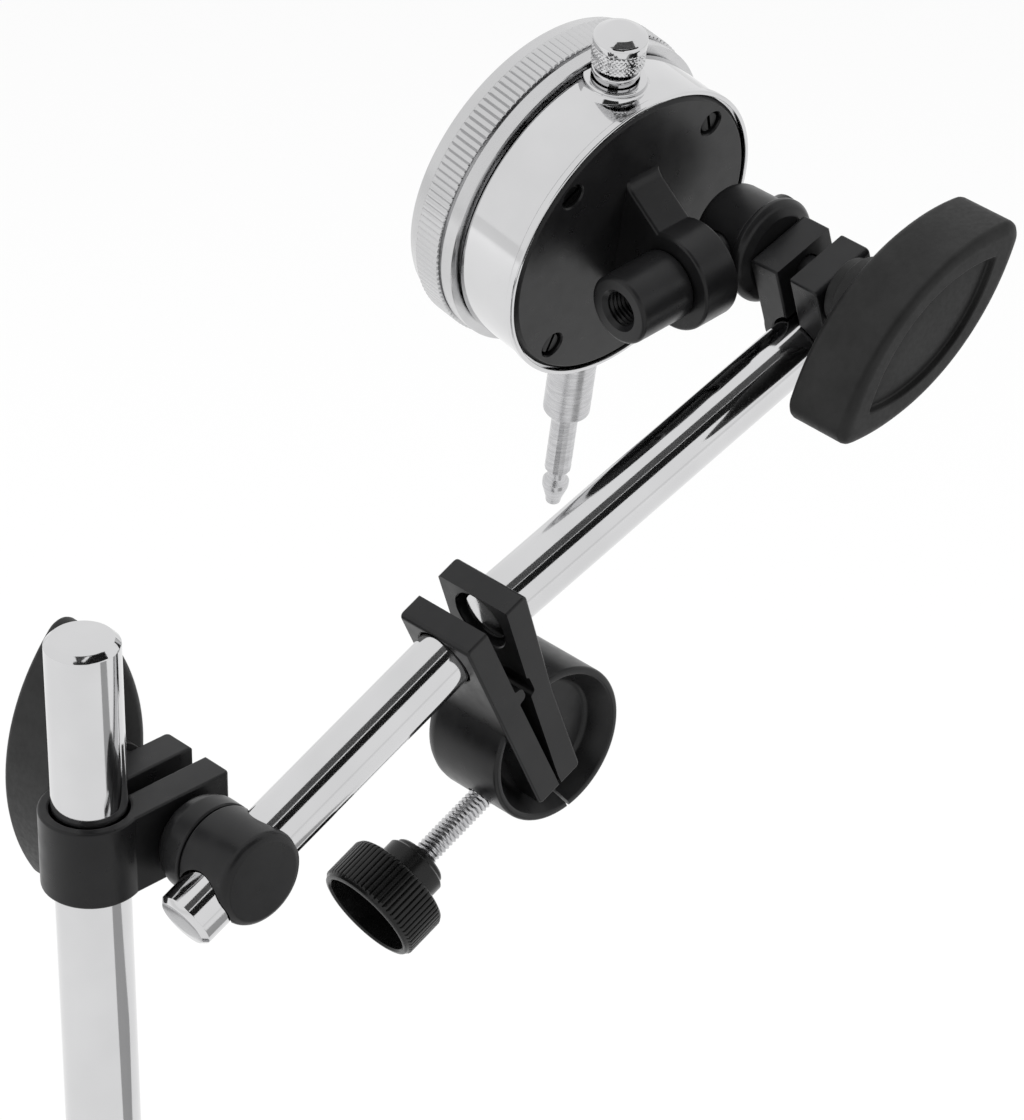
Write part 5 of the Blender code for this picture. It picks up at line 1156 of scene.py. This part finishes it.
def indicator_case():
    fine = GAP / 2.0
    shell = [
        (CASE_LIP_RADIUS, 0.0, fine * 2.0),
        (CASE_LIP_RADIUS, CASE_LIP_DEPTH, fine),
        (CASE_RADIUS, CASE_LIP_DEPTH + GAP, fine),
        (CASE_RADIUS, CASE_DEPTH, fine * 2.0),
        (NECK_RADIUS, CASE_DEPTH),
        (NECK_RADIUS, NECK_END, fine),
        (CASE_INNER, NECK_END),
        (CASE_INNER, LEDGE_END),
        (LEDGE_INNER, LEDGE_END),
        (LEDGE_INNER, LEDGE_START),
        (CASE_INNER, LEDGE_START),
        (CASE_INNER, COVER_FLANGE + GAP),
        (COVER_RADIUS + GAP, COVER_FLANGE + GAP),
        (COVER_RADIUS + GAP, 0.0, fine),
    ]
    flare = BOSS_RADIUS * BOSS_FLARE
    boss = turned([
        (BOSS_RADIUS + flare, CASE_INNER + GAP),
        (BOSS_RADIUS + flare, CASE_RADIUS - flare),
        (BOSS_RADIUS, CASE_RADIUS + GAP, flare * 2.0),
        (BOSS_RADIUS, BOSS_END, GAP),
        (TUBE_RADIUS, BOSS_END),
    ], ROUND_STEPS)
    up = shift(z=SPINDLE_DEPTH) @ ONTO_Y
    reach = BOSS_RADIUS + flare + OVERRUN
    boss_end = BOSS_END + OVERRUN
    stem_end = -CASE_LIP_RADIUS - OVERRUN
    inside = box_mesh((-reach, reach), (0.0, TUBE_START), (-OVERRUN, SPINDLE_DEPTH + reach))
    beyond = box_mesh((-reach, reach), (0.0, boss_end), (CASE_DEPTH - GAP, SPINDLE_DEPTH + reach))
    behind = box_mesh((-reach, reach), (0.0, boss_end), (-reach, CASE_LIP_DEPTH))
    trimmed = combined(moved(boss, up), cut=[inside, beyond, behind])
    tube = turned([(TUBE_RADIUS + GAP, LEDGE_INNER), (TUBE_RADIUS + GAP, boss_end)], SMALL_STEPS)
    stem = turned([(STEM_RADIUS + GAP, stem_end), (STEM_RADIUS + GAP, -LEDGE_INNER)], SMALL_STEPS)
    body = turned(shell, WIDE_STEPS, ring=True)
    case = combined(body, add=[trimmed], cut=[moved(tube, up), moved(stem, up)])
    show("indicator_case", case, AT["case"])


def tube_pieces():
    bore = SPINDLE_RADIUS + GAP
    stem = [
        (bore, -STEM_START),
        (STEM_RADIUS, -STEM_START),
        (STEM_RADIUS, -STEM_END, CAST_EDGE),
        (bore, -STEM_END, HAIR),
    ]
    show("stem", turned(stem, ROUND_STEPS, ring=True), AT["spindle"])
    tube = [
        (bore, TUBE_START),
        (TUBE_RADIUS, TUBE_START),
        (TUBE_RADIUS, TUBE_END),
        (TUBE_RING_RADIUS, TUBE_END, GAP),
        (TUBE_RING_RADIUS, TUBE_RING_END, GAP),
        (bore, TUBE_RING_END),
    ]
    show("cap_tube", turned(tube, ROUND_STEPS, ring=True), AT["spindle"])


def back_cover():
    """The cover disc with its lug, bored for the pin, and four sunk screws."""
    disc = turned([
        (COVER_RADIUS * CORE, 0.0),
        (COVER_RADIUS - COVER_BEVEL, 0.0, GAP),
        (COVER_RADIUS, COVER_BEVEL, GAP),
        (COVER_RADIUS, COVER_FLANGE),
        (COVER_SPIGOT_RADIUS, COVER_FLANGE),
        (COVER_SPIGOT_RADIUS, COVER_SPIGOT_END),
        (COVER_SPIGOT_RADIUS * CORE, COVER_SPIGOT_END),
    ], WIDE_STEPS)
    pin_y = -CASE_ABOVE_PIN
    pin_z = -CASE_FROM_PIN
    root = COVER_FLANGE
    arc_end_y = pin_y + LUG_RADIUS * cos(radians(LUG_ARC_END))
    outline = rounded([(arc_end_y, pin_z + LUG_RADIUS * LUG_ARC_RISE),
                       (LUG_ROOT_UP - LUG_ROOT_FILLET, -GAP, LUG_ROOT_FILLET),
                       (LUG_ROOT_UP + LUG_ROOT_FILLET, root)])[1:]
    outline += [(-LUG_ROOT_DOWN, root), (-LUG_ROOT_DOWN, -GAP), (pin_y - LUG_RADIUS, -LUG_RADIUS)]
    outline += arc((pin_y, pin_z), LUG_RADIUS, -180.0, LUG_ARC_END, ROUND_STEPS)
    low_x = LUG_START - CASE_ALONG_PIN
    high_x = low_x + LUG_THICKNESS
    lug = moved(plate(outline, low_x, high_x, LUG_EDGE), OUTLINE_ALONG_Y)
    pin_hole = moved(hole_tool(PIN_THREAD_RADIUS + GAP, low_x, high_x, steps=SMALL_STEPS),
                     shift(0.0, pin_y, pin_z) @ ONTO_X)
    place = COVER_SCREW_PLACE
    places = [shift(sx * place, sy * place) for sx in (-1, 1) for sy in (-1, 1)]
    head = INDICATOR_SCREW_HEAD
    sink = turned([
        (head + GAP, COVER_SPIGOT_END + OVERRUN),
        (head + GAP, GAP),
        (head + GAP * 3.0, -GAP * 2.0),
    ], SMALL_STEPS)
    cover = combined(disc, add=[lug], cut=[pin_hole, *(moved(sink, spot) for spot in places)])
    show("back_cover", cover, AT["case"])
    screw = turned([
        (head * 0.4, INDICATOR_SCREW_SINK),
        (head, INDICATOR_SCREW_SINK, GAP),
        (head, COVER_SPIGOT_END),
        (head * 0.4, COVER_SPIGOT_END),
    ], SMALL_STEPS)
    slot = box_mesh((-head * 2.0, head * 2.0), (-GAP, GAP), (0.0, INDICATOR_SCREW_SINK * 2.0))
    for number, spot in enumerate(places, start=1):
        slot_turn = spin(INDICATOR_SCREW_TURN * number, "Z")
        show(f"back_cover_screw_{number}", combined(screw.copy(), cut=[slot]),
             AT["case"] @ spot @ slot_turn, "black_steel")


def spindle_end():
    """The contact point and the knurled lifting cap."""
    point = [(POINT_RADIUS * wide, POINT_RADIUS * high - POINT_END, GAP) for wide, high in POINT_TIP]
    point += [
        (POINT_RADIUS, POINT_RADIUS * POINT_BULGE_LOW - POINT_BULGE, POINT_RADIUS),
        (POINT_RADIUS, POINT_RADIUS * POINT_BULGE_HIGH - POINT_BULGE, GAP),
        (POINT_NECK, POINT_RADIUS * POINT_NECK_START - POINT_BULGE, GAP),
        (POINT_NECK, -SPINDLE_BOTTOM - GAP),
        (POINT_STUD_RADIUS, -SPINDLE_BOTTOM - GAP),
        (POINT_STUD_RADIUS, -SPINDLE_BOTTOM + GAP * 10.0),
    ]
    show("contact_point", turned(point), AT["spindle"])
    bore = SPINDLE_RADIUS + GAP
    steps = KNURLS * KNURL_STEPS
    under = [(bore, SPINDLE_TOP + GAP), (bore, CAP_START), (CAP_RADIUS - GAP, CAP_START)]
    loops = [circle(radius, height, steps) for radius, height in under]
    for row in range(KNURL_ROWS + 1):
        height = CAP_START + GAP / 2.0 + (CAP_BAND_END - CAP_START - GAP / 2.0) * row / KNURL_ROWS
        climb = (height - CAP_START) / CAP_RADIUS * KNURLS / (2.0 * pi)
        loop = []
        for i in range(steps):
            around = KNURLS * i / steps
            left = abs(2.0 * ((around + climb) % 1.0) - 1.0)
            right = abs(2.0 * ((around - climb) % 1.0) - 1.0)
            r = CAP_RADIUS - KNURL_DEPTH * (1.0 - min(left, right))
            turn = 2.0 * pi * i / steps
            loop.append((r * cos(turn), r * sin(turn), height))
        loops.append(loop)
    top = rounded([
        (CAP_RADIUS * CAP_NECK_SHARE, CAP_BAND_END + GAP / 2.0),
        (CAP_RADIUS, CAP_BAND_END + GAP, GAP),
        (CAP_RADIUS, CAP_TOP - GAP * 3.0, GAP * 3.0),
        (CAP_RADIUS * 0.62, CAP_TOP, GAP * 4.0),
        (CAP_RADIUS * 0.1, CAP_TOP),
    ])
    loops += [circle(radius, height, steps) for radius, height in top]
    show("lifting_cap", stacked(loops), AT["spindle"])


def bezel():
    """The turning rim: a plain ring, a fine groove, the ribbed band and a sloped front."""
    edge = GAP / 2.0
    deep = BEZEL_RIB_DEPTH
    levels = [
        (BEZEL_INNER, BEZEL_FRONT - BEZEL_LIP),
        (BEZEL_INNER, BEZEL_START),
        (BEZEL_PLAIN_RADIUS - edge, BEZEL_START),
        (BEZEL_PLAIN_RADIUS, BEZEL_START + edge),
        (BEZEL_PLAIN_RADIUS, BEZEL_PLAIN_END - BEZEL_GROOVE - edge),
        (BEZEL_PLAIN_RADIUS - edge, BEZEL_PLAIN_END - BEZEL_GROOVE),
        (BEZEL_PLAIN_RADIUS - BEZEL_GROOVE, BEZEL_PLAIN_END - BEZEL_GROOVE),
        (BEZEL_PLAIN_RADIUS - BEZEL_GROOVE, BEZEL_PLAIN_END),
        (BEZEL_RADIUS - edge, BEZEL_PLAIN_END, deep),
        (BEZEL_RADIUS, BEZEL_PLAIN_END + edge, deep),
        (BEZEL_RADIUS, BEZEL_BAND_END - edge, deep),
        (BEZEL_RADIUS - edge, BEZEL_BAND_END, deep),
        (BEZEL_RADIUS - deep - edge, BEZEL_BAND_END + edge),
        (BEZEL_FRONT_RADIUS + edge, BEZEL_FRONT - edge * 3.0),
        (BEZEL_FRONT_RADIUS - edge, BEZEL_FRONT),
        (BEZEL_LIP_RADIUS + edge, BEZEL_FRONT),
        (BEZEL_LIP_RADIUS, BEZEL_FRONT - edge),
        (BEZEL_LIP_RADIUS, BEZEL_FRONT - BEZEL_LIP),
    ]
    show("bezel", ribbed(levels, BEZEL_RIBS), AT["case"])


def glass_and_spacer():
    low, high = DIAL_START + DIAL_THICKNESS + GAP, CRYSTAL_START - GAP
    outer = BEZEL_INNER - GAP
    spacer = [(REHAUT_INNER, low), (outer, low), (outer, high), (REHAUT_INNER + GAP, high)]
    show("dial_spacer", turned(spacer, WIDE_STEPS, ring=True), AT["case"])
    top = CRYSTAL_START + CRYSTAL_THICKNESS
    glass = [
        (CRYSTAL_RADIUS * 0.3, CRYSTAL_START),
        (CRYSTAL_RADIUS, CRYSTAL_START),
        (CRYSTAL_RADIUS, top - GAP),
        (BEZEL_LIP_RADIUS - GAP, top),
        (BEZEL_LIP_RADIUS * 0.7, top + CRYSTAL_DOME * 0.7),
        (BEZEL_LIP_RADIUS * 0.3, top + CRYSTAL_DOME),
        (BEZEL_LIP_RADIUS * 0.1, top + CRYSTAL_DOME),
    ]
    show("crystal", turned(glass, WIDE_STEPS), AT["case"])


def mark_mesh(radius, length, width, turn, low):
    """One radial line of the dial's print."""
    box = box_mesh((radius - length, radius), (-width / 2.0, width / 2.0), (low - HAIR, low + MARK_HEIGHT))
    return moved(box, Matrix.Rotation(turn, 4, "Z"))


def number_mesh(text, size, radius, turn, low):
    """A number of the dial's print, upright as the dial is read from the front."""
    line = bpy.data.curves.new("number", "FONT")
    line.body = text
    line.size = size
    line.align_x = "CENTER"
    line.align_y = "CENTER"
    line.extrude = MARK_HEIGHT / 2.0
    line.resolution_u = NUMBER_CURVE_STEPS
    holder = in_scene("number", line)
    mesh = evaluated(holder)
    bpy.data.objects.remove(holder)
    mesh.transform(shift(radius * cos(turn), radius * sin(turn), low + MARK_HEIGHT / 2.0))
    return mesh


def counter_centre():
    """Where the small turn counter's axis stands on the dial."""
    pinion_radius = RACK_PITCH * RACK_PINION_TEETH / (2.0 * pi)
    x = -(RACK_FACE - RACK_TOOTH_HEIGHT / 2.0 + pinion_radius)
    return x, sqrt(WHEEL_DISTANCE ** 2 - x * x)


def dial():
    """The fixed centre and the turning ring of the dial, with their print."""
    top = DIAL_START + DIAL_THICKNESS
    counter_x, counter_y = counter_centre()
    centre = turned([(DIAL_SPLIT_RADIUS * CORE, DIAL_START), (DIAL_SPLIT_RADIUS - GAP, DIAL_START),
                     (DIAL_SPLIT_RADIUS - GAP, top, HAIR), (DIAL_SPLIT_RADIUS * CORE, top)], WIDE_STEPS)
    hole = hole_tool(GAP * 3.0, DIAL_START, top, steps=SMALL_STEPS)
    cuts = [moved(hole, spot) for spot in (shift(), shift(counter_x, counter_y))]
    show("dial_centre", combined(centre, cut=cuts), AT["case"])
    ring = [(DIAL_SPLIT_RADIUS, DIAL_START), (DIAL_RING_RADIUS, DIAL_START), (DIAL_RING_RADIUS, top),
            (DIAL_SPLIT_RADIUS, top)]
    show("dial_ring", turned(ring, WIDE_STEPS, ring=True), AT["case"])
    prints = []
    for i in range(DIAL_DIVISIONS):
        kind = 10 if i % 10 == 0 else 5 if i % 5 == 0 else 1
        turn = radians(90.0 - 360.0 / DIAL_DIVISIONS * i)
        prints.append(mark_mesh(MARK_OUTER, MARK_LENGTHS[kind], MARK_WIDTHS[kind], turn, top))
        if kind == 10:
            prints.append(number_mesh(str(i), NUMBER_SIZE, NUMBER_RADIUS, turn, top))
    show("dial_ring", joined(prints), AT["case"], "hand_black", "dial_ring_print")
    small = []
    mark_radius = COUNTER_RADIUS * COUNTER_MARK_PLACE
    number_radius = COUNTER_RADIUS * COUNTER_NUMBER_PLACE
    for i in range(COUNTER_DIVISIONS):
        turn = radians(90.0 - 360.0 / COUNTER_DIVISIONS * i)
        small.append(mark_mesh(mark_radius, MARK_LENGTHS[1] / 3.0, MARK_WIDTHS[1], turn, top))
        small.append(number_mesh(str(i), COUNTER_NUMBER_SIZE, number_radius, turn, top))
    small_print = moved(joined(small), shift(counter_x, counter_y))
    show("dial_centre", small_print, AT["case"], "hand_black", "dial_counter_print")


def hands():
    """The long pointer and the small turn counter's hand, each a blade with a hub."""
    counter = AT["case"] @ shift(*counter_centre())
    table = (
        ("pointer", AT["case"], POINTER_LENGTH, POINTER_TAIL, POINTER_WIDTH, POINTER_TIP_WIDTH,
         POINTER_HUB_RADIUS, POINTER_START, POINTER_HUB_TOP),
        ("counter_hand", counter, COUNTER_LENGTH, COUNTER_TAIL, COUNTER_WIDTH, COUNTER_TIP_WIDTH,
         COUNTER_HUB_RADIUS, COUNTER_START, COUNTER_START + POINTER_THICKNESS + GAP / 3.0),
    )
    for node, place, length, tail, width, tip, hub, low, top in table:
        outline = rounded([(-width / 2.0, -tail, width / 4.0), (width / 2.0, -tail, width / 4.0),
                           (tip / 2.0, length, tip / 4.0), (-tip / 2.0, length, tip / 4.0)], True)
        blade = plate(outline, low, low + POINTER_THICKNESS, POINTER_THICKNESS / 4.0, BLADE_STEPS)
        disc = turned([(hub * CORE, low - GAP / 3.0), (hub, low - GAP / 3.0), (hub, top, GAP / 2.0),
                       (hub * CORE, top)], SMALL_STEPS)
        show(node, combined(blade, add=[disc]), place)


def carried_nodes():
    """The nodes that stay as the part makes them, most of them inside the case, get their finishes."""
    for node, piece in frame["nodes"].items():
        if not piece.hide_render:
            piece.data.materials.clear()
            piece.data.materials.append(LOOKS[SLOT_OF[node]])


# Studio

MIDDLE = Vector((45.0 * MM, 0.0, 190.0 * MM))
FLOOR_SIZE = 6.0
FLOOR_SHADE = 0.86
FLOOR_WHITEN = 0.75
SKY_FILL = 0.5

# Azimuth and elevation of the place, its distance from the middle, width, height, then power or shade
LAMPS = {
    "top_softbox": (20.0, 78.0, 1.2, 0.7, 0.7, 9.0),
    "left_softbox": (150.0, 22.0, 1.1, 0.5, 0.9, 7.0),
    "right_softbox": (-50.0, 20.0, 1.2, 0.4, 0.8, 4.0),
}
DRAPES = {
    "front_drape": (268.0, 50.0, 1.15, 1.5, 0.42, 0.015),
    "ceiling_drape": (262.0, 73.0, 1.15, 1.3, 0.42, 0.10),
    "camera_drape": (226.0, 40.0, 1.25, 0.9, 0.7, 0.03),
}

# Another drape lies on the floor before the object: its place, then width, length and shade
FLOOR_DRAPE_PLACE = Vector((120.0 * MM, -320.0 * MM, 4.0 * MM))
FLOOR_DRAPE_LOOK = (0.12, 0.5, 0.35)


def bare_tree(owner):
    """The node tree of a material or world, emptied."""
    owner.use_nodes = True
    owner.node_tree.nodes.clear()
    return owner.node_tree


def sheet(name, width, height, tree_of):
    """A flat rectangle that faces +Z, with a material that the function draws in its tree."""
    w, h = width / 2.0, height / 2.0
    mesh = bpy.data.meshes.new(name)
    mesh.from_pydata([(-w, -h, 0), (w, -h, 0), (w, h, 0), (-w, h, 0)], [], [(0, 1, 2, 3)])
    material = bpy.data.materials.new(name)
    tree = bare_tree(material)
    surface = tree_of(tree)
    out = tree.nodes.new("ShaderNodeOutputMaterial")
    tree.links.new(surface, out.inputs["Surface"])
    mesh.materials.append(material)
    thing = in_scene(name, mesh)
    return thing


def matt(tree, shade):
    diffuse = tree.nodes.new("ShaderNodeBsdfDiffuse")
    diffuse.inputs["Color"].default_value = (shade, shade, shade, 1.0)
    return diffuse.outputs[0]


def white_seen(tree, seen, lit):
    """One shader for rays that see a thing directly, in metal or through glass, the other for the rest."""
    rays = tree.nodes.new("ShaderNodeLightPath")
    total = rays.outputs["Is Camera Ray"]
    for other in ("Is Glossy Ray", "Is Transmission Ray"):
        add = tree.nodes.new("ShaderNodeMath")
        add.operation = "MAXIMUM"
        tree.links.new(total, add.inputs[0])
        tree.links.new(rays.outputs[other], add.inputs[1])
        total = add.outputs[0]
    mix = tree.nodes.new("ShaderNodeMixShader")
    tree.links.new(total, mix.inputs["Fac"])
    tree.links.new(lit, mix.inputs[1])
    tree.links.new(seen, mix.inputs[2])
    return mix.outputs[0]


def world():
    sky = bpy.data.worlds.new("studio")
    bpy.context.scene.world = sky
    tree = bare_tree(sky)
    shaders = []
    for strength in (1.0, SKY_FILL):
        background = tree.nodes.new("ShaderNodeBackground")
        background.inputs["Color"].default_value = (1.0, 1.0, 1.0, 1.0)
        background.inputs["Strength"].default_value = strength
        shaders.append(background.outputs[0])
    out = tree.nodes.new("ShaderNodeOutputWorld")
    tree.links.new(white_seen(tree, *shaders), out.inputs["Surface"])


def lifted_floor(tree):
    """A pale shader whose seen colour is lifted towards white, with the shadow kept."""
    diffuse = matt(tree, FLOOR_SHADE)
    glow = tree.nodes.new("ShaderNodeEmission")
    glow.inputs["Strength"].default_value = 1.0
    lifted = tree.nodes.new("ShaderNodeMixShader")
    lifted.inputs["Fac"].default_value = FLOOR_WHITEN
    tree.links.new(diffuse, lifted.inputs[1])
    tree.links.new(glow.outputs[0], lifted.inputs[2])
    return white_seen(tree, lifted.outputs[0], diffuse)


def facing(place, target):
    """A matrix at a place whose -Z looks at the target."""
    look = (target - place).to_track_quat("-Z", "Y").to_matrix().to_4x4()
    look.translation = place
    return look


def around(azimuth, elevation, distance):
    """A place seen from the object's middle, azimuth from +X towards +Y."""
    a, e = radians(azimuth), radians(elevation)
    return MIDDLE + distance * Vector((cos(a) * cos(e), sin(a) * cos(e), sin(e)))


def lamp(name, place, width, height, power):
    light = bpy.data.lights.new(name, "AREA")
    light.shape = "RECTANGLE"
    light.size = width
    light.size_y = height
    light.energy = power
    holder = in_scene(name, light)
    holder.matrix_world = place
    holder.visible_camera = False
    holder.visible_glossy = False


def drape(name, place, width, height, shade):
    """A dark backdrop cloth that metal and paint mirror, outside the picture."""
    cloth = sheet(name, width, height, lambda tree: matt(tree, shade))
    cloth.matrix_world = place
    cloth.visible_camera = False
    cloth.visible_shadow = False
    cloth.visible_diffuse = False


def camera():
    turn, pitch, roll = (radians(angle) for angle in (CAMERA_TURN, CAMERA_PITCH, CAMERA_ROLL))
    back = Vector((sin(turn) * cos(pitch), -cos(turn) * cos(pitch), sin(pitch)))
    level = Vector((cos(turn), sin(turn), 0.0))
    upward = back.cross(level)
    right = cos(roll) * level + sin(roll) * upward
    up = cos(roll) * upward - sin(roll) * level
    lens_data = bpy.data.cameras.new("photo_camera")
    lens_data.sensor_width = SENSOR_WIDTH
    lens_data.lens = FOCAL_PIXELS * SENSOR_WIDTH / FRAME_PIXELS
    lens_data.clip_start = CLIP_START
    view = in_scene("photo_camera", lens_data)
    matrix = Matrix((right, up, back)).transposed().to_4x4()
    matrix.translation = CAMERA_PLACE
    view.matrix_world = matrix
    bpy.context.scene.camera = view


camera()
base_covers()
switch_knob()
post()
clamp_collar("lower_collar", AT["lower"], LOWER)
wing_knob("lower_wing_knob", AT["lower_bolt"], LOWER, LOWER_WING_TURN)
eye_bolt("lower_eye_bolt", AT["arm_pivot"], LOWER, ONTO_X)
washer("lower_washer", AT["arm_pivot"], LOWER)
rods()
adjuster_half("adjuster_left_half", -1)
adjuster_half("adjuster_right_half", 1)
adjuster_screw()
clamp_collar("upper_collar", AT["upper"], UPPER)
wing_knob("upper_wing_knob", AT["upper_bolt"], UPPER, UPPER_WING_TURN)
eye_bolt("upper_eye_bolt", AT["tilt_pivot"], UPPER, Matrix())
washer("upper_washer", AT["tilt_pivot"], UPPER)
lug_pin()
indicator_case()
tube_pieces()
back_cover()
spindle_end()
bezel()
glass_and_spacer()
dial()
hands()
carried_nodes()

sheet("floor", FLOOR_SIZE, FLOOR_SIZE, lifted_floor)
world()
for kind, table in ((lamp, LAMPS), (drape, DRAPES)):
    for name, (azimuth, elevation, distance, *rest) in table.items():
        kind(name, facing(around(azimuth, elevation, distance), MIDDLE), *rest)
above = FLOOR_DRAPE_PLACE + Vector((0.0, 0.0, 1.0))
drape("floor_drape", facing(FLOOR_DRAPE_PLACE, above), *FLOOR_DRAPE_LOOK)

scene = bpy.context.scene
scene.view_settings.view_transform = "Standard"
